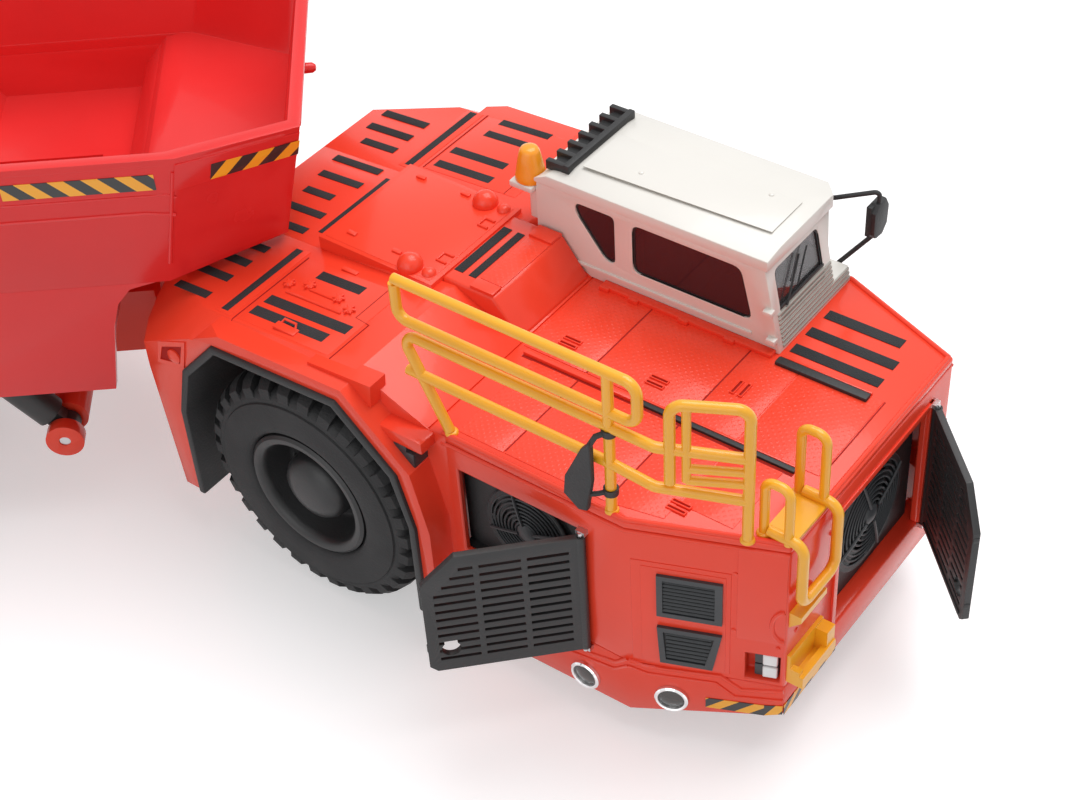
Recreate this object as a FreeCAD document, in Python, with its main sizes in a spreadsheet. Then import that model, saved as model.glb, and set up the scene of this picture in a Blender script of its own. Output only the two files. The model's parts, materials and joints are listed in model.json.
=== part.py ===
import FreeCAD, Part
import math
import os
import re
import Sketcher

# Articulated underground mining truck, a 1:50 die-cast model. Millimetres.
# +X is forward, +Y is the truck's left, +Z is up. The front unit is built straight
# along X with the front axle over the origin of its sizes; the rear unit is built in
# its own frame, with the hitch pin over its origin, and is turned about that pin.

doc = FreeCAD.newDocument("MiningTruck")
sheet = doc.addObject("Spreadsheet::Sheet", "Sizes")

SIZES = {
    # where the part's origin lies, from the ground point under the front axle
    "stand_x": -32.22,
    "stand_y": -33.23,
    # running gear
    "tyre_radius": 19.8,
    "tyre_width": 17.0,
    "lug_count": 24,
    "lug_depth": 1.7,
    "lug_gap": 1.5,
    "shoulder_drop": 2.4,
    "bead_radius": 10.6,
    "sidewall_swell": 2.6,
    "rim_wall": 1.0,
    "dish_depth": 6.0,
    "dish_plate": 1.4,
    "hub_radius": 5.6,
    "hub_length": 4.4,
    "hub_cap": 2.4,
    "hub_sleeve": 2.0,
    "wheel_face": 33.2,
    "axle_radius": 3.2,
    "spindle_radius": 2.0,
    "running_gap": 0.05,
    "rear_axle_u": -75.0,
    "housing_radius": 6.5,
    "housing_half": 5.0,
    # hitch
    "pivot_x": -41.0,
    "turn_angle": 39.5,
    "pin_radius": 2.0,
    "pin_low": 10.5,
    "pin_high": 35.5,
    "pin_head": 1.2,
    "ear_radius": 5.0,
    "ear_plate": 3.0,
    "lower_ear": 12.0,
    "upper_ear": 31.0,
    "ear_gap": 0.6,
    "tower_depth": 5.5,
    # screw holes for a display base
    "base_hole_radius": 1.25,
    "base_hole_depth": 8.0,
    "base_hole_x": 32.0,
    # front unit, plan
    "nose_x": 73.6,
    "nose_half": 21.4,
    "bend_x": 53.8,
    "deck_start": 22.0,
    "deck_half": 29.2,
    "body_back": 25.0,
    "fender_half": 33.6,
    "fender_rear": -30.5,
    "fender_end": 10.8,
    "flare_width": 2.2,
    "corner_back_y": 22.6,
    "corner_front_x": -18.2,
    "corner_side_z": 36.0,
    # front unit, heights
    "belly": 3.8,
    "belly_bend": 4.5,
    "belly_nose": 8.0,
    "belly_lip": 8.8,
    "bumper_top": 14.6,
    "deck_top": 41.6,
    "deck_plate": 1.2,
    "fender_top": 46.15,
    "fender_slope": 4.0,
    "shoulder_in": 4.0,
    "shoulder_fall": 1.8,
    "edge_in": 1.6,
    "edge_fall": 3.0,
    "skin": 1.2,
    "bumper_wall": 3.6,
    "bumper_tuck": 2.4,
    "frame_half": 11.5,
    "frame_low": 9.0,
    "frame_high": 26.0,
    # wheel arch of the front unit, at the fender's face
    "arch_rear": -22.9,
    "arch_front": 21.9,
    "arch_shoulder_rear": -13.4,
    "arch_shoulder_front": 9.8,
    "arch_top": 44.0,
    "arch_fall": 1.2,
    "arch_waist": 26.0,
    "arch_knee": 35.0,
    "arch_knee_in": 2.4,
    "arch_inner": 13.6,
    "trim_width": 1.2,
    "trim_proud": 0.6,
    "arch_low": 9.0,
    # raised hood between the fenders, and its step down to the deck
    "hood_rear": -12.6,
    "hood_edge": 8.4,
    "hood_top": 47.5,
    "hood_half": 10.6,
    "crest_half": 8.2,
    "crest_front": 17.4,
    "crest_end": 21.8,
    "dome_radius": 1.95,
    "dome_x": 3.2,
    "dome_y": 8.8,
    "dome_z": 47.7,
    "panel_gap": 0.2,
    # angles of the open grille doors
    "side_door_angle": -135.0,
    "front_door_angle": -46.0,
    # cab
    "cab_right": 9.0,
    "cab_left": 28.5,
    "cab_rear": 12.6,
    "cab_top_front": 50.8,
    "cab_toe": 53.5,
    "corner_y": 24.4,
    "corner_x": 49.0,
    "corner_low": 44.0,
    "roof_low": 55.2,
    "roof_edge": 56.9,
    "roof_top": 57.9,
    "roof_slope_y": 6.6,
    "roof_lap": 0.5,
    "cab_wall": 1.2,
    "pillar": 2.0,
    "window_low": 45.7,
    "window_high": 54.0,
    "side_window_start": 29.2,
    "side_window_end": 49.0,
    "quarter_start": 19.5,
    "quarter_end": 26.2,
    "quarter_foot": 1.6,
    "glass": 0.5,
    "glass_gap": 0.05,
    "seat_x": 28.0,
    "seat_depth": 9.0,
    "seat_inset": 4.5,
    "seat_high": 3.6,
    "seat_back": 2.4,
    "rack_depth": 3.4,
    "rack_high": 1.2,
    "rack_rib": 0.9,
    "rack_bar": 1.0,
    "beacon_x": 10.8,
    "beacon_y": 10.4,
    "beacon_low": 54.2,
    "beacon_high": 59.6,
    "beacon_radius": 2.3,
    "beacon_tip": 1.5,
    "bracket_plate": 1.0,
    # side radiator bay and its door
    "bay_start": 26.5,
    "bay_end": 46.5,
    "bay_low": 20.5,
    "bay_high": 36.2,
    "bay_depth": 9.0,
    "fan_radius": 6.8,
    "guard_bar": 0.6,
    "fan_hub": 2.0,
    "door_plate": 1.0,
    "side_door_drop": 6.0,
    "side_door_width": 21.4,
    "front_door_width": 19.6,
    "door_hinge_gap": 0.9,
    "door_cut": 4.8,
    "door_nick": 1.0,
    "latch_radius": 1.3,
    "hinge_pin": 0.35,
    "knuckle_radius": 0.7,
    "slat_rows": 12,
    "slat_gap": 0.55,
    "door_border": 1.6,
    "door_rib": 0.8,
    # front radiator bay and its door
    "mouth_right": -8.5,
    "mouth_left": 15.0,
    "mouth_high": 37.0,
    "mouth_depth": 9.0,
    # headlamp pockets and vents in the tapered sides of the nose
    "pocket_start": 15.9,
    "pocket_end": 20.6,
    "pocket_low": 15.2,
    "pocket_high": 20.4,
    "pocket_depth": 2.4,
    "lamp_size": 2.0,
    "vent_start": 4.4,
    "vent_end": 12.7,
    "vent_low": 16.6,
    "vent_split": 23.4,
    "vent_next": 25.8,
    "vent_high": 33.3,
    "vent_thick": 0.5,
    "vent_border": 0.9,
    "vent_taper": 1.2,
    "lamp_radius": 2.4,
    "lamp_ring": 0.7,
    "lamp_bend_x": 46.6,
    "lamp_bend_z": 7.3,
    "lamp_nose_s": 6.0,
    "lamp_nose_z": 8.7,
    # handrail along the right of the deck
    "rail_radius": 0.75,
    "rail_y": -28.2,
    "rail_bend": 1.8,
    "rail_start": 18.2,
    "rail_end": 55.6,
    "rail_top": 65.0,
    "rail_under": 58.6,
    "rail_second": 56.2,
    "rail_third": 50.0,
    "rail_post": 51.3,
    "rail_foot": 25.1,
    # gate beside the ladder, and the ladder
    "gate_x": 68.4,
    "gate_y": -23.2,
    "gate_start": 59.8,
    "gate_start_y": -27.6,
    "gate_top": 63.6,
    "gate_mid": 53.3,
    "gate_low": 51.3,
    "gate_inner": 61.6,
    "ladder_right": -21.0,
    "ladder_left": -12.5,
    "ladder_back": 69.4,
    "ladder_front": 73.0,
    "ladder_out": 75.2,
    "ladder_foot": 31.6,
    "ladder_lift": 0.85,
    "loop_bend": 1.4,
    "loop_radius": 0.65,
    "loop_right": 50.8,
    "loop_left": 53.2,
    "step_plate": 1.0,
    "rung_low": 26.4,
    "rung_depth": 1.8,
    "rung_left": -14.6,
    "pan_low": 15.6,
    "pan_back": 20.8,
    "pan_depth": 2.5,
    "pan_lip": 2.0,
    "pan_lug": 2.0,
    # mirrors
    "mirror_high": 5.0,
    "mirror_wide": 3.4,
    "mirror_thick": 0.8,
    "mirror_x": 54.8,
    "mirror_y": 31.0,
    "mirror_z": 52.0,
    "mirror_arm": 0.35,
    # dump box, in the rear unit's frame
    "box_half": 34.0,
    "box_waist_half": 33.0,
    "box_front": 15.3,
    "box_front_low": 10.5,
    "box_front_half": 28.5,
    "box_front_low_half": 23.5,
    "box_shoulder": -1.6,
    "box_shoulder_low": -6.0,
    "rim_height": 68.2,
    "box_belly": 46.6,
    "box_floor": 48.4,
    "box_wall": 1.8,
    "skirt_front": -15.5,
    "skirt_rear": -51.0,
    "skirt_low": 27.0,
    "well_low": 36.8,
    "well_rear": -41.5,
    "well_slope": 8.0,
    "tail_kink": -92.0,
    "tail_u": -117.0,
    "tail_low": 56.0,
    "tail_lip": 5.0,
    "trough_half": 13.6,
    "trough_low": 27.5,
    "trough_front": -18.5,
    "trough_rear": -84.0,
    "trough_slope": 6.0,
    "bed_hinge_u": -101.0,
    "bed_hinge_z": 27.0,
    # rear frame
    "rail_out": 10.0,
    "rail_wall": 3.0,
    "rail_low": 15.0,
    "rail_high": 27.0,
    "rail_front": -14.0,
    "rail_rear": -104.0,
    "cross_depth": 6.0,
    "base_hole_inset": 3.0,
    "lug_radius": 3.0,
    "bed_pin_radius": 1.3,
    "bed_ear": 3.0,
    # two-stage hoist cylinders beside the box's trough
    "hoist_foot_u": -29.0,
    "hoist_foot_z": 12.5,
    "hoist_head_u": -52.0,
    "hoist_head_z": 44.2,
    "hoist_offset": 24.0,
    "hoist_boss": 4.0,
    "head_ear": 1.4,
    "eye_half": 1.2,
    "eye_radius": 2.0,
    "eye_pin_radius": 0.9,
    "neck_half": 1.4,
    "barrel_radius": 2.6,
    "sleeve_radius": 2.0,
    "rod_radius": 1.4,
    "stage_gap": 0.05,
    "stage_step": 0.6,
    "head_room": 6.4,
    "tail_lamp_size": 2.4,
    "tail_lamp_low": 19.0,
}

for row, (alias, value) in enumerate(SIZES.items(), start=1):
    sheet.set(f"A{row}", alias)
    sheet.set(f"B{row}", str(value))
    sheet.setAlias(f"B{row}", alias)
doc.recompute()

NODES = []


def cells(formula):
    """Point every size named in a formula at its cell of the sheet."""
    return re.sub(r"\b([a-z][a-z_0-9]*)\b(?!\s*\()", r"Sizes.\1", str(formula))


def number(formula):
    """The value of a formula of sizes."""
    return float(sheet.evalExpression(str(formula)))


def bind(item, prop, formula):
    """Tie a property to a formula of sizes."""
    item.setExpression(prop, cells(formula))


def place(item, x=0, y=0, z=0, axis=None, angle=0):
    """Seat an object at a point given by formulas, turned about an axis."""
    if axis is not None:
        item.Placement.Rotation = FreeCAD.Rotation(FreeCAD.Vector(*axis), number(angle))
        bind(item, "Placement.Rotation.Angle", f"{angle}")
    for letter, formula in zip("xyz", (x, y, z)):
        bind(item, f"Placement.Base.{letter}", formula)
    return item


def block(name, x, y, z):
    """A box between low and high formulas on each axis."""
    item = doc.addObject("Part::Box", name)
    for prop, letter, (low, high) in zip(("Length", "Width", "Height"), "xyz", (x, y, z)):
        bind(item, prop, f"({high}) - ({low})")
        bind(item, f"Placement.Base.{letter}", low)
    return item


TURNS = {"x": ((0, 1, 0), 90), "y": ((1, 0, 0), -90), "z": ((0, 0, 1), 0)}


def rod(name, axis, start, length, radius):
    """A cylinder from a start point, along one axis."""
    item = doc.addObject("Part::Cylinder", name)
    bind(item, "Radius", radius)
    bind(item, "Height", length)
    turn, angle = TURNS[axis]
    item.Placement.Rotation = FreeCAD.Rotation(FreeCAD.Vector(*turn), angle)
    for letter, formula in zip("xyz", start):
        bind(item, f"Placement.Base.{letter}", formula)
    return item


def outline(body, plane, corners):
    """A sketch on one origin plane of a body, with each corner tied to its formulas."""
    sketch = body.newObject("Sketcher::SketchObject", body.Name + "Sketch")
    origin = next(f for f in body.Origin.OriginFeatures if f.Role == plane)
    sketch.AttachmentSupport = [(origin, "")]
    sketch.MapMode = "FlatFace"
    points = [FreeCAD.Vector(number(a), number(b), 0) for a, b in corners]
    count = len(points)
    for i in range(count):
        sketch.addGeometry(Part.LineSegment(points[i], points[(i + 1) % count]), False)
    for i in range(count):
        sketch.addConstraint(Sketcher.Constraint("Coincident", i, 2, (i + 1) % count, 1))
    for i, (a, b) in enumerate(corners):
        across = sketch.addConstraint(Sketcher.Constraint("DistanceX", i, 1, points[i].x))
        upward = sketch.addConstraint(Sketcher.Constraint("DistanceY", i, 1, points[i].y))
        bind(sketch, f"Constraints[{across}]", a)
        bind(sketch, f"Constraints[{upward}]", b)
    return sketch


def prism(name, plane, corners, low, high):
    """A body padded from an outline: XY upward, XZ across the truck, YZ forward."""
    body = doc.addObject("PartDesign::Body", name)
    sketch = outline(body, plane + "_Plane", corners)
    start = f"-({high})" if plane == "XZ" else low
    bind(sketch, "AttachmentOffset.Base.z", start)
    pad = body.newObject("PartDesign::Pad", name + "Pad")
    pad.Profile = sketch
    bind(pad, "Length", f"({high}) - ({low})")
    return body


def turned(name, corners):
    """A body of revolution about Y, from an outline of (y, radius) corners."""
    body = doc.addObject("PartDesign::Body", name)
    sketch = outline(body, "YZ_Plane", corners)
    revolution = body.newObject("PartDesign::Revolution", name + "Turn")
    revolution.Profile = sketch
    revolution.ReferenceAxis = (sketch, ["H_Axis"])
    revolution.Angle = 360
    return body


def fuse(name, items):
    """One shape of several."""
    item = doc.addObject("Part::MultiFuse", name)
    item.Shapes = items
    return item


def cut(name, base, tools):
    """A base with tools taken away."""
    item = doc.addObject("Part::Cut", name)
    item.Base = base
    item.Tool = tools[0] if len(tools) == 1 else fuse(name + "Tools", tools)
    return item


def common(name, first, second):
    """What two shapes share."""
    item = doc.addObject("Part::Common", name)
    item.Base = first
    item.Tool = second
    return item


def node(item, label, unit):
    """Name a sub-part and seat it on the front or the rear unit."""
    holder = doc.addObject("Part::Compound", "Node" + str(len(NODES)))
    holder.Links = item if isinstance(item, list) else [item]
    holder.Label = label
    if unit == "rear":
        place(holder, "pivot_x - stand_x", "-stand_y", 0, (0, 0, 1), "turn_angle")
    else:
        place(holder, "-stand_x", "-stand_y", 0)
    NODES.append(holder)
    return holder


def both(corners):
    """Close a half outline of (x, y) corners on the truck's left with its mirror."""
    return corners + [(x, f"-({y})") for x, y in reversed(corners)]


def segments(corners):
    """Straight runs joined by tangent arcs, through (point, bend radius) corners."""
    edges = []
    start = corners[0][0]
    for i in range(1, len(corners) - 1):
        corner, bend = corners[i]
        back = (corners[i - 1][0] - corner).normalize()
        ahead = (corners[i + 1][0] - corner).normalize()
        half = back.getAngle(ahead) / 2
        reach = bend / math.tan(half)
        first = corner + back * reach
        last = corner + ahead * reach
        middle = corner + (back + ahead).normalize() * (bend / math.sin(half) - bend)
        edges.append(Part.LineSegment(start, first).toShape())
        edges.append(Part.Arc(first, middle, last).toShape())
        start = last
    edges.append(Part.LineSegment(start, corners[-1][0]).toShape())
    return edges


def tube(name, corners, radius, bend):
    """A round bar bent along corners given by (x, y, z) formulas."""
    points = [(FreeCAD.Vector(*[number(v) for v in corner]), number(bend)) for corner in corners]
    path = Part.Wire(segments(points))
    direction = points[1][0] - points[0][0]
    ring = Part.Wire(Part.Circle(points[0][0], direction, number(radius)).toShape())
    item = doc.addObject("Part::Feature", name)
    item.Shape = path.makePipeShell([ring], True, False)
    return item


def loft(name, sections):
    """A solid ruled through closed outlines of (x, y, z) formulas."""
    wires = []
    for corners in sections:
        points = [FreeCAD.Vector(*[number(v) for v in corner]) for corner in corners]
        wires.append(Part.makePolygon(points + [points[0]]))
    item = doc.addObject("Part::Feature", name)
    item.Shape = Part.makeLoft(wires, True, True)
    return item


def faceted(name, sections):
    """A solid of flat faces between closed outlines of matching corners."""
    rings = [[FreeCAD.Vector(*[number(v) for v in corner]) for corner in corners] for corners in sections]
    faces = [Part.Face(Part.makePolygon(end + end[:1])) for end in (rings[0], rings[-1])]
    for first, second in zip(rings, rings[1:]):
        for i in range(len(first)):
            j = (i + 1) % len(first)
            faces.append(Part.Face(Part.makePolygon([first[i], first[j], second[j], second[i], first[i]])))
    item = doc.addObject("Part::Feature", name)
    item.Shape = Part.Solid(Part.Shell(faces))
    return item


def seat(item, x, y, z, axis=(0, 0, 1), angle=0):
    """A holder that carries a piece to a place and turns it there."""
    holder = doc.addObject("Part::Compound", item.Name + "Seat")
    holder.Links = [item]
    return place(holder, x, y, z, axis, angle)


def span(side, low, high):
    """The same run of Y on the right or on the left of the middle."""
    return (low, high) if side == "left" else (f"-({high})", f"-({low})")


SIDES = ("right", "left")

# ---------------------------------------------------------------- running gear

WHEEL_PROFILE = [
    ("-hub_length - hub_cap", "0"),
    ("-hub_length - hub_cap", "hub_radius - 1.6"),
    ("-hub_length - hub_cap / 2", "hub_radius"),
    ("-tyre_width / 2 + dish_depth", "hub_radius"),
    ("-tyre_width / 2 + dish_depth", "bead_radius - rim_wall"),
    ("-tyre_width / 2", "bead_radius - rim_wall"),
    ("-tyre_width / 2", "bead_radius"),
    ("tyre_width / 2", "bead_radius"),
    ("tyre_width / 2", "bead_radius - rim_wall"),
    ("-tyre_width / 2 + dish_depth + dish_plate", "bead_radius - rim_wall"),
    ("-tyre_width / 2 + dish_depth + dish_plate", "spindle_radius + hub_sleeve"),
    ("1.5", "spindle_radius + hub_sleeve"),
    ("1.5", "spindle_radius + running_gap"),
    ("-hub_length", "spindle_radius + running_gap"),
    ("-hub_length", "0"),
]

# the tyre's half outline from bead to tread, as (y, radius) of its flats
TYRE_HALF = [
    ("tyre_width / 2 - 0.6", "bead_radius + running_gap"),
    ("tyre_width / 2", "bead_radius + sidewall_swell"),
    ("tyre_width / 2 - 0.3", "tyre_radius - shoulder_drop"),
    ("tyre_width / 2 - 2.8", "tyre_radius"),
]
LUGS = int(SIZES["lug_count"])


def ring(y, radius):
    """One many-sided outline of the tyre, with a flat at the ground."""
    corners = []
    for i in range(LUGS):
        turn = f"360 * {i + 0.5} / lug_count"
        reach = f"({radius}) / cos(180 / lug_count)"
        corners.append((f"{reach} * sin({turn})", y, f"-({reach}) * cos({turn})"))
    return corners


def tyre():
    """A tyre with a notch between its lugs on both shoulders."""
    stations = [(f"-({y})", radius) for y, radius in TYRE_HALF] + TYRE_HALF[::-1]
    body = faceted("tyre_body", [ring(y, radius) for y, radius in stations])
    tools = [faceted("tyre_bore", [ring(y, "bead_radius + running_gap") for y in ("-tyre_width", "tyre_width")])]
    for side in SIDES:
        notch = prism(f"notch_{side}", "XZ", [
            ("-lug_gap", "-tyre_radius - 1"),
            ("lug_gap", "-tyre_radius - 1"),
            ("0", "-tyre_radius + lug_depth"),
        ], *span(side, "tyre_width / 6", "tyre_width"))
        for i in range(LUGS):
            tools.append(seat(notch, 0, 0, 0, (0, 1, 0), f"360 * {i + 0.5} / lug_count"))
    return cut("tyre_cut", body, tools)


HALF_TYRE = "(wheel_face - tyre_width / 2)"
rim = turned("rim_turn", WHEEL_PROFILE)
lugged = tyre()


def wheel(unit, side, axle):
    """A rim with its tyre, outer face away from the truck's middle."""
    for kind, piece in (("rim", rim), ("tyre", lugged)):
        holder = doc.addObject("Part::Compound", f"{unit}_{side}_{kind}_seat")
        holder.Links = [piece]
        turn = 0 if side == "right" else 180
        sign = "-" if side == "right" else ""
        place(holder, axle, f"{sign}{HALF_TYRE}", "tyre_radius", (0, 0, 1), turn)
        node(holder, f"{kind}_{unit}_{side}", unit)


def axle(unit, x):
    """An axle housing with its ball, and a spindle for each wheel."""
    reach = f"({HALF_TYRE} - hub_sleeve + 0.1)"
    tip = f"({HALF_TYRE} + hub_length - 0.2)"
    housing = rod(unit + "_axle_tube", "y", (x, f"-{reach}", "tyre_radius"), f"2 * {reach}", "axle_radius")
    spindle = rod(unit + "_axle_spindle", "y", (x, f"-{tip}", "tyre_radius"), f"2 * {tip}", "spindle_radius")
    ball = rod(unit + "_axle_ball", "y", (x, "-housing_half", "tyre_radius"), "2 * housing_half",
               "housing_radius")
    node(fuse(unit + "_axle_fuse", [housing, spindle, ball]), f"axle_{unit}", unit)


for unit, place_x in (("front", "0"), ("rear", "rear_axle_u")):
    axle(unit, place_x)
    for side in SIDES:
        wheel(unit, side, place_x)

# ---------------------------------------------------------------- front frame and hitch

beam = block("front_beam", ("fender_rear + 1", "nose_x - tower_depth - skin - mouth_depth"),
             ("-frame_half", "frame_half"), ("frame_low", "frame_high"))
tower = block("hitch_tower", ("fender_rear", "fender_rear + tower_depth"), ("-frame_half", "frame_half"),
              ("frame_low", "upper_ear + ear_plate"))


def ear(name, low):
    """A flat plate round the hitch pin, carried by the tower."""
    plate = block(name + "_plate", ("pivot_x", "fender_rear"), ("-ear_radius", "ear_radius"),
                  (low, f"{low} + ear_plate"))
    nose = rod(name + "_nose", "z", ("pivot_x", 0, low), "ear_plate", "ear_radius")
    return [plate, nose]


front_raw = fuse("front_frame_raw", [beam, tower] + ear("lower_ear", "lower_ear") + ear("upper_ear", "upper_ear"))
ball_well = block("ball_well", ("-housing_radius - 1", "housing_radius + 1"),
                  ("-housing_half - 1", "housing_half + 1"), ("frame_low - 1", "frame_high + 1"))
axle_bore = rod("axle_bore", "y", (0, "-frame_half - 1", "tyre_radius"), "2 * frame_half + 2",
                "axle_radius + running_gap")
pin_bore = rod("pin_bore", "z", ("pivot_x", 0, "lower_ear - 1"), "upper_ear - lower_ear + ear_plate + 2",
               "pin_radius + running_gap")
front_base_hole = rod("front_base_hole", "z", ("base_hole_x", 0, "frame_low - 1"), "base_hole_depth + 1",
                      "base_hole_radius")
node(cut("front_frame_cut", front_raw, [ball_well, axle_bore, pin_bore, front_base_hole]), "front_frame", "front")

pin_shank = rod("pin_shank", "z", ("pivot_x", 0, "pin_low"), "pin_high - pin_low", "pin_radius")
pin_cap = rod("pin_cap", "z", ("pivot_x", 0, "upper_ear + ear_plate + running_gap"), "pin_head",
              "pin_radius + pin_head")
node(fuse("hitch_pin_fuse", [pin_shank, pin_cap]), "hitch_pin", "front")

# ---------------------------------------------------------------- front body


def arch(grow, foot):
    """The wheel arch's outline, moved outward by a distance."""
    return [
        (f"arch_rear - {grow}", foot),
        (f"arch_rear - {grow}", "arch_waist"),
        (f"arch_rear + arch_knee_in - {grow}", f"arch_knee + {grow} / 2"),
        (f"arch_shoulder_rear - {grow} / 2", f"arch_top - arch_fall + {grow}"),
        (f"arch_shoulder_front + {grow} / 2", f"arch_top + {grow}"),
        (f"arch_front - arch_knee_in + {grow}", f"arch_knee + {grow} / 2"),
        (f"arch_front + {grow}", "arch_waist"),
        (f"arch_front + {grow}", foot),
    ]


FENDER_PLAN = [
    ("fender_rear", "0"),
    ("fender_rear", "fender_half - 4"),
    ("fender_rear + 2.2", "fender_half"),
    ("fender_end", "fender_half"),
    ("fender_end + 2", "fender_half - 4"),
    ("body_back", "deck_half"),
    ("body_back", "0"),
]
FENDER_SIDE = [
    ("fender_rear + 4.4", "arch_low"),
    ("fender_rear + 2.2", "arch_knee - 3"),
    ("fender_rear", "arch_knee + 5"),
    ("fender_rear", "fender_top + 3"),
    ("fender_end", "fender_top + 3"),
    ("fender_end", "fender_top + fender_end * tan(fender_slope)"),
    ("deck_start", "deck_top"),
    ("body_back", "deck_top"),
    ("body_back", "arch_low"),
]
FENDER_FACE = [
    ("0", "-fender_top"),
    ("fender_half", "-fender_top"),
    ("fender_half", "-edge_fall"),
    ("fender_half - edge_in", "-shoulder_fall"),
    ("fender_half - shoulder_in", "0"),
    ("0", "0"),
]


def mirrored(side, corners):
    """Half a plan or face on the truck's left, or its mirror on the right."""
    if side == "left":
        return corners
    return [(a, f"-({b})") for a, b in corners]


def fender_corner(side):
    """The sloping cut that takes off a fender's rear outer corner."""
    sign = "-" if side == "right" else ""
    points = [
        ("fender_rear", "corner_back_y", "fender_top + fender_rear * tan(fender_slope)"),
        ("corner_front_x", "fender_half - shoulder_in", "fender_top + corner_front_x * tan(fender_slope)"),
        ("fender_rear + 1", "fender_half", "corner_side_z"),
    ]
    inner = []
    for i in range(3):
        near, second, third = points[i], points[(i + 1) % 3], points[(i + 2) % 3]
        inner.append([f"3 * ({near[k]}) - ({second[k]}) - ({third[k]})" for k in range(3)])
    sections = []
    for push in (0, 12):
        sections.append([(f"{x} - {0.45 * push}", f"{sign}({y} + {0.56 * push})", f"{z} + {0.7 * push}")
                         for x, y, z in inner])
    return loft(f"fender_corner_{side}", sections)


def fender(side):
    """One front fender: top, sloping shoulder, outer face and the flare of its arch."""
    plan = prism(f"fender_plan_{side}", "XY", mirrored(side, FENDER_PLAN), "arch_low", "fender_top + 4")
    profile = prism(f"fender_side_{side}", "XZ", FENDER_SIDE, "-fender_half - 1", "fender_half + 1")
    corners = FENDER_FACE if side == "left" else [(f"-({y})", z) for y, z in FENDER_FACE]
    face = prism(f"fender_face_{side}", "YZ", corners, "fender_rear - 8", "body_back + 2")
    place(face, 0, 0, "fender_top", (0, 1, 0), "-fender_slope")
    solid = common(f"fender_body_{side}", common(f"fender_block_{side}", plan, profile), face)
    flare = prism(f"fender_flare_{side}", "XZ", arch("flare_width", "arch_low"),
                  *span(side, "deck_half - skin", "fender_half"))
    wheel_room = prism(f"fender_arch_{side}", "XZ", arch("0", "-2"), *span(side, "arch_inner", "fender_half + 2"))
    inner = "crest_half" if side == "right" else "cab_right - panel_gap"
    middle = prism(f"fender_middle_{side}", "XY", mirrored(side, [
        ("fender_rear - 2", "-1"),
        ("fender_rear - 2", "hood_half"),
        ("hood_edge", "hood_half"),
        ("hood_edge", inner),
        ("body_back + 2", inner),
        ("body_back + 2", "-1"),
    ]), "arch_low - 2", "fender_top + 5")
    tunnel = block(f"fender_tunnel_{side}", ("fender_rear - 2", "body_back + 2"), span(side, "-1", "frame_half"),
                   ("arch_low - 2", "upper_ear + ear_plate"))
    slot = rod(f"fender_axle_{side}", "y", (0, "-fender_half", "tyre_radius"), "2 * fender_half", "axle_radius + 0.3")
    cab_foot = block(f"fender_cab_{side}", ("cab_rear", "body_back + 2"),
                     ("cab_right", "cab_left"), ("deck_top", "fender_top + 5"))
    nose_cut = prism(f"fender_nose_{side}", "XY", nose_plan("0", "deck_start"), "belly - 1", "deck_top + 0.01")
    node(cut(f"fender_{side}_cut", fuse(f"fender_{side}_raw", [solid, flare]),
             [wheel_room, middle, tunnel, slot, cab_foot, nose_cut, fender_corner(side)]),
         f"fender_{side}", "front")


def arch_liner(side):
    """The black lining and lip of one front wheel arch."""
    out = span(side, "arch_inner", "fender_half + trim_proud")
    outer = prism(f"liner_outer_{side}", "XZ", arch("0", "-2"), *out)
    inner = prism(f"liner_inner_{side}", "XZ", arch("(-trim_width)", "-3"), f"{out[0]} - 1", f"{out[1]} + 1")
    floor = block(f"liner_floor_{side}", ("arch_rear - 1", "arch_front + 1"), (f"{out[0]} - 1", f"{out[1]} + 1"),
                  ("-5", "arch_low"))
    node(cut(f"liner_cut_{side}", outer, [inner, floor]), f"arch_liner_{side}", "front")


def nose_plan(inset, back="deck_start"):
    """The nose's outline behind a wall of the given thickness."""
    return both([
        (back, f"deck_half - {inset}"),
        ("bend_x", f"deck_half - {inset}"),
        (f"nose_x - {inset}", f"nose_half - {inset} / 2"),
    ])


for side in SIDES:
    fender(side)
    arch_liner(side)

hood_low = "upper_ear + ear_plate"
hood_block = prism("hood_block", "XZ", [
    ("fender_rear", hood_low),
    ("fender_rear", "fender_top + fender_rear * tan(fender_slope)"),
    ("hood_rear", "fender_top + hood_rear * tan(fender_slope)"),
    ("hood_rear", "hood_top"),
    ("hood_edge", "hood_top"),
    ("hood_edge", hood_low),
], "-hood_half", "hood_half")
hood_foot = block("hood_foot", ("hood_edge - 1", "deck_start"), ("-crest_half", "cab_right - panel_gap"),
                  (hood_low, "deck_top"))
domes = []
for side in SIDES:
    sign = "-" if side == "right" else ""
    dome = doc.addObject("Part::Sphere", f"hood_dome_{side}")
    bind(dome, "Radius", "dome_radius")
    domes.append(place(dome, "dome_x", f"{sign}dome_y", "dome_z"))
node(fuse("hood_fuse", [hood_block, hood_foot] + domes), "hood", "front")

crest = prism("crest_profile", "XZ", [
    ("hood_edge", "deck_top"),
    ("hood_edge", "hood_top"),
    ("crest_front", "hood_top"),
    ("crest_end", "deck_top"),
], "-crest_half", "cab_right - panel_gap")
node(crest, "hood_crest", "front")

nose_outer = prism("nose_outer", "XY", nose_plan("0"), "bumper_top", "deck_top - deck_plate")
nose_inner = prism("nose_inner", "XY", nose_plan("skin", "deck_start - 1"), "bumper_top - 1",
                   "deck_top - deck_plate + 1")
bay_window = block("bay_window", ("bay_start", "bay_end"), ("-deck_half - 1", "-deck_half + 3"),
                   ("bay_low", "bay_high"))
mouth = block("mouth", ("nose_x - 4", "nose_x + 1"), ("mouth_right", "mouth_left"), ("bumper_top", "mouth_high"))

NOSE_ANGLE = "atan((deck_half - nose_half) / (nose_x - bend_x))"


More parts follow.
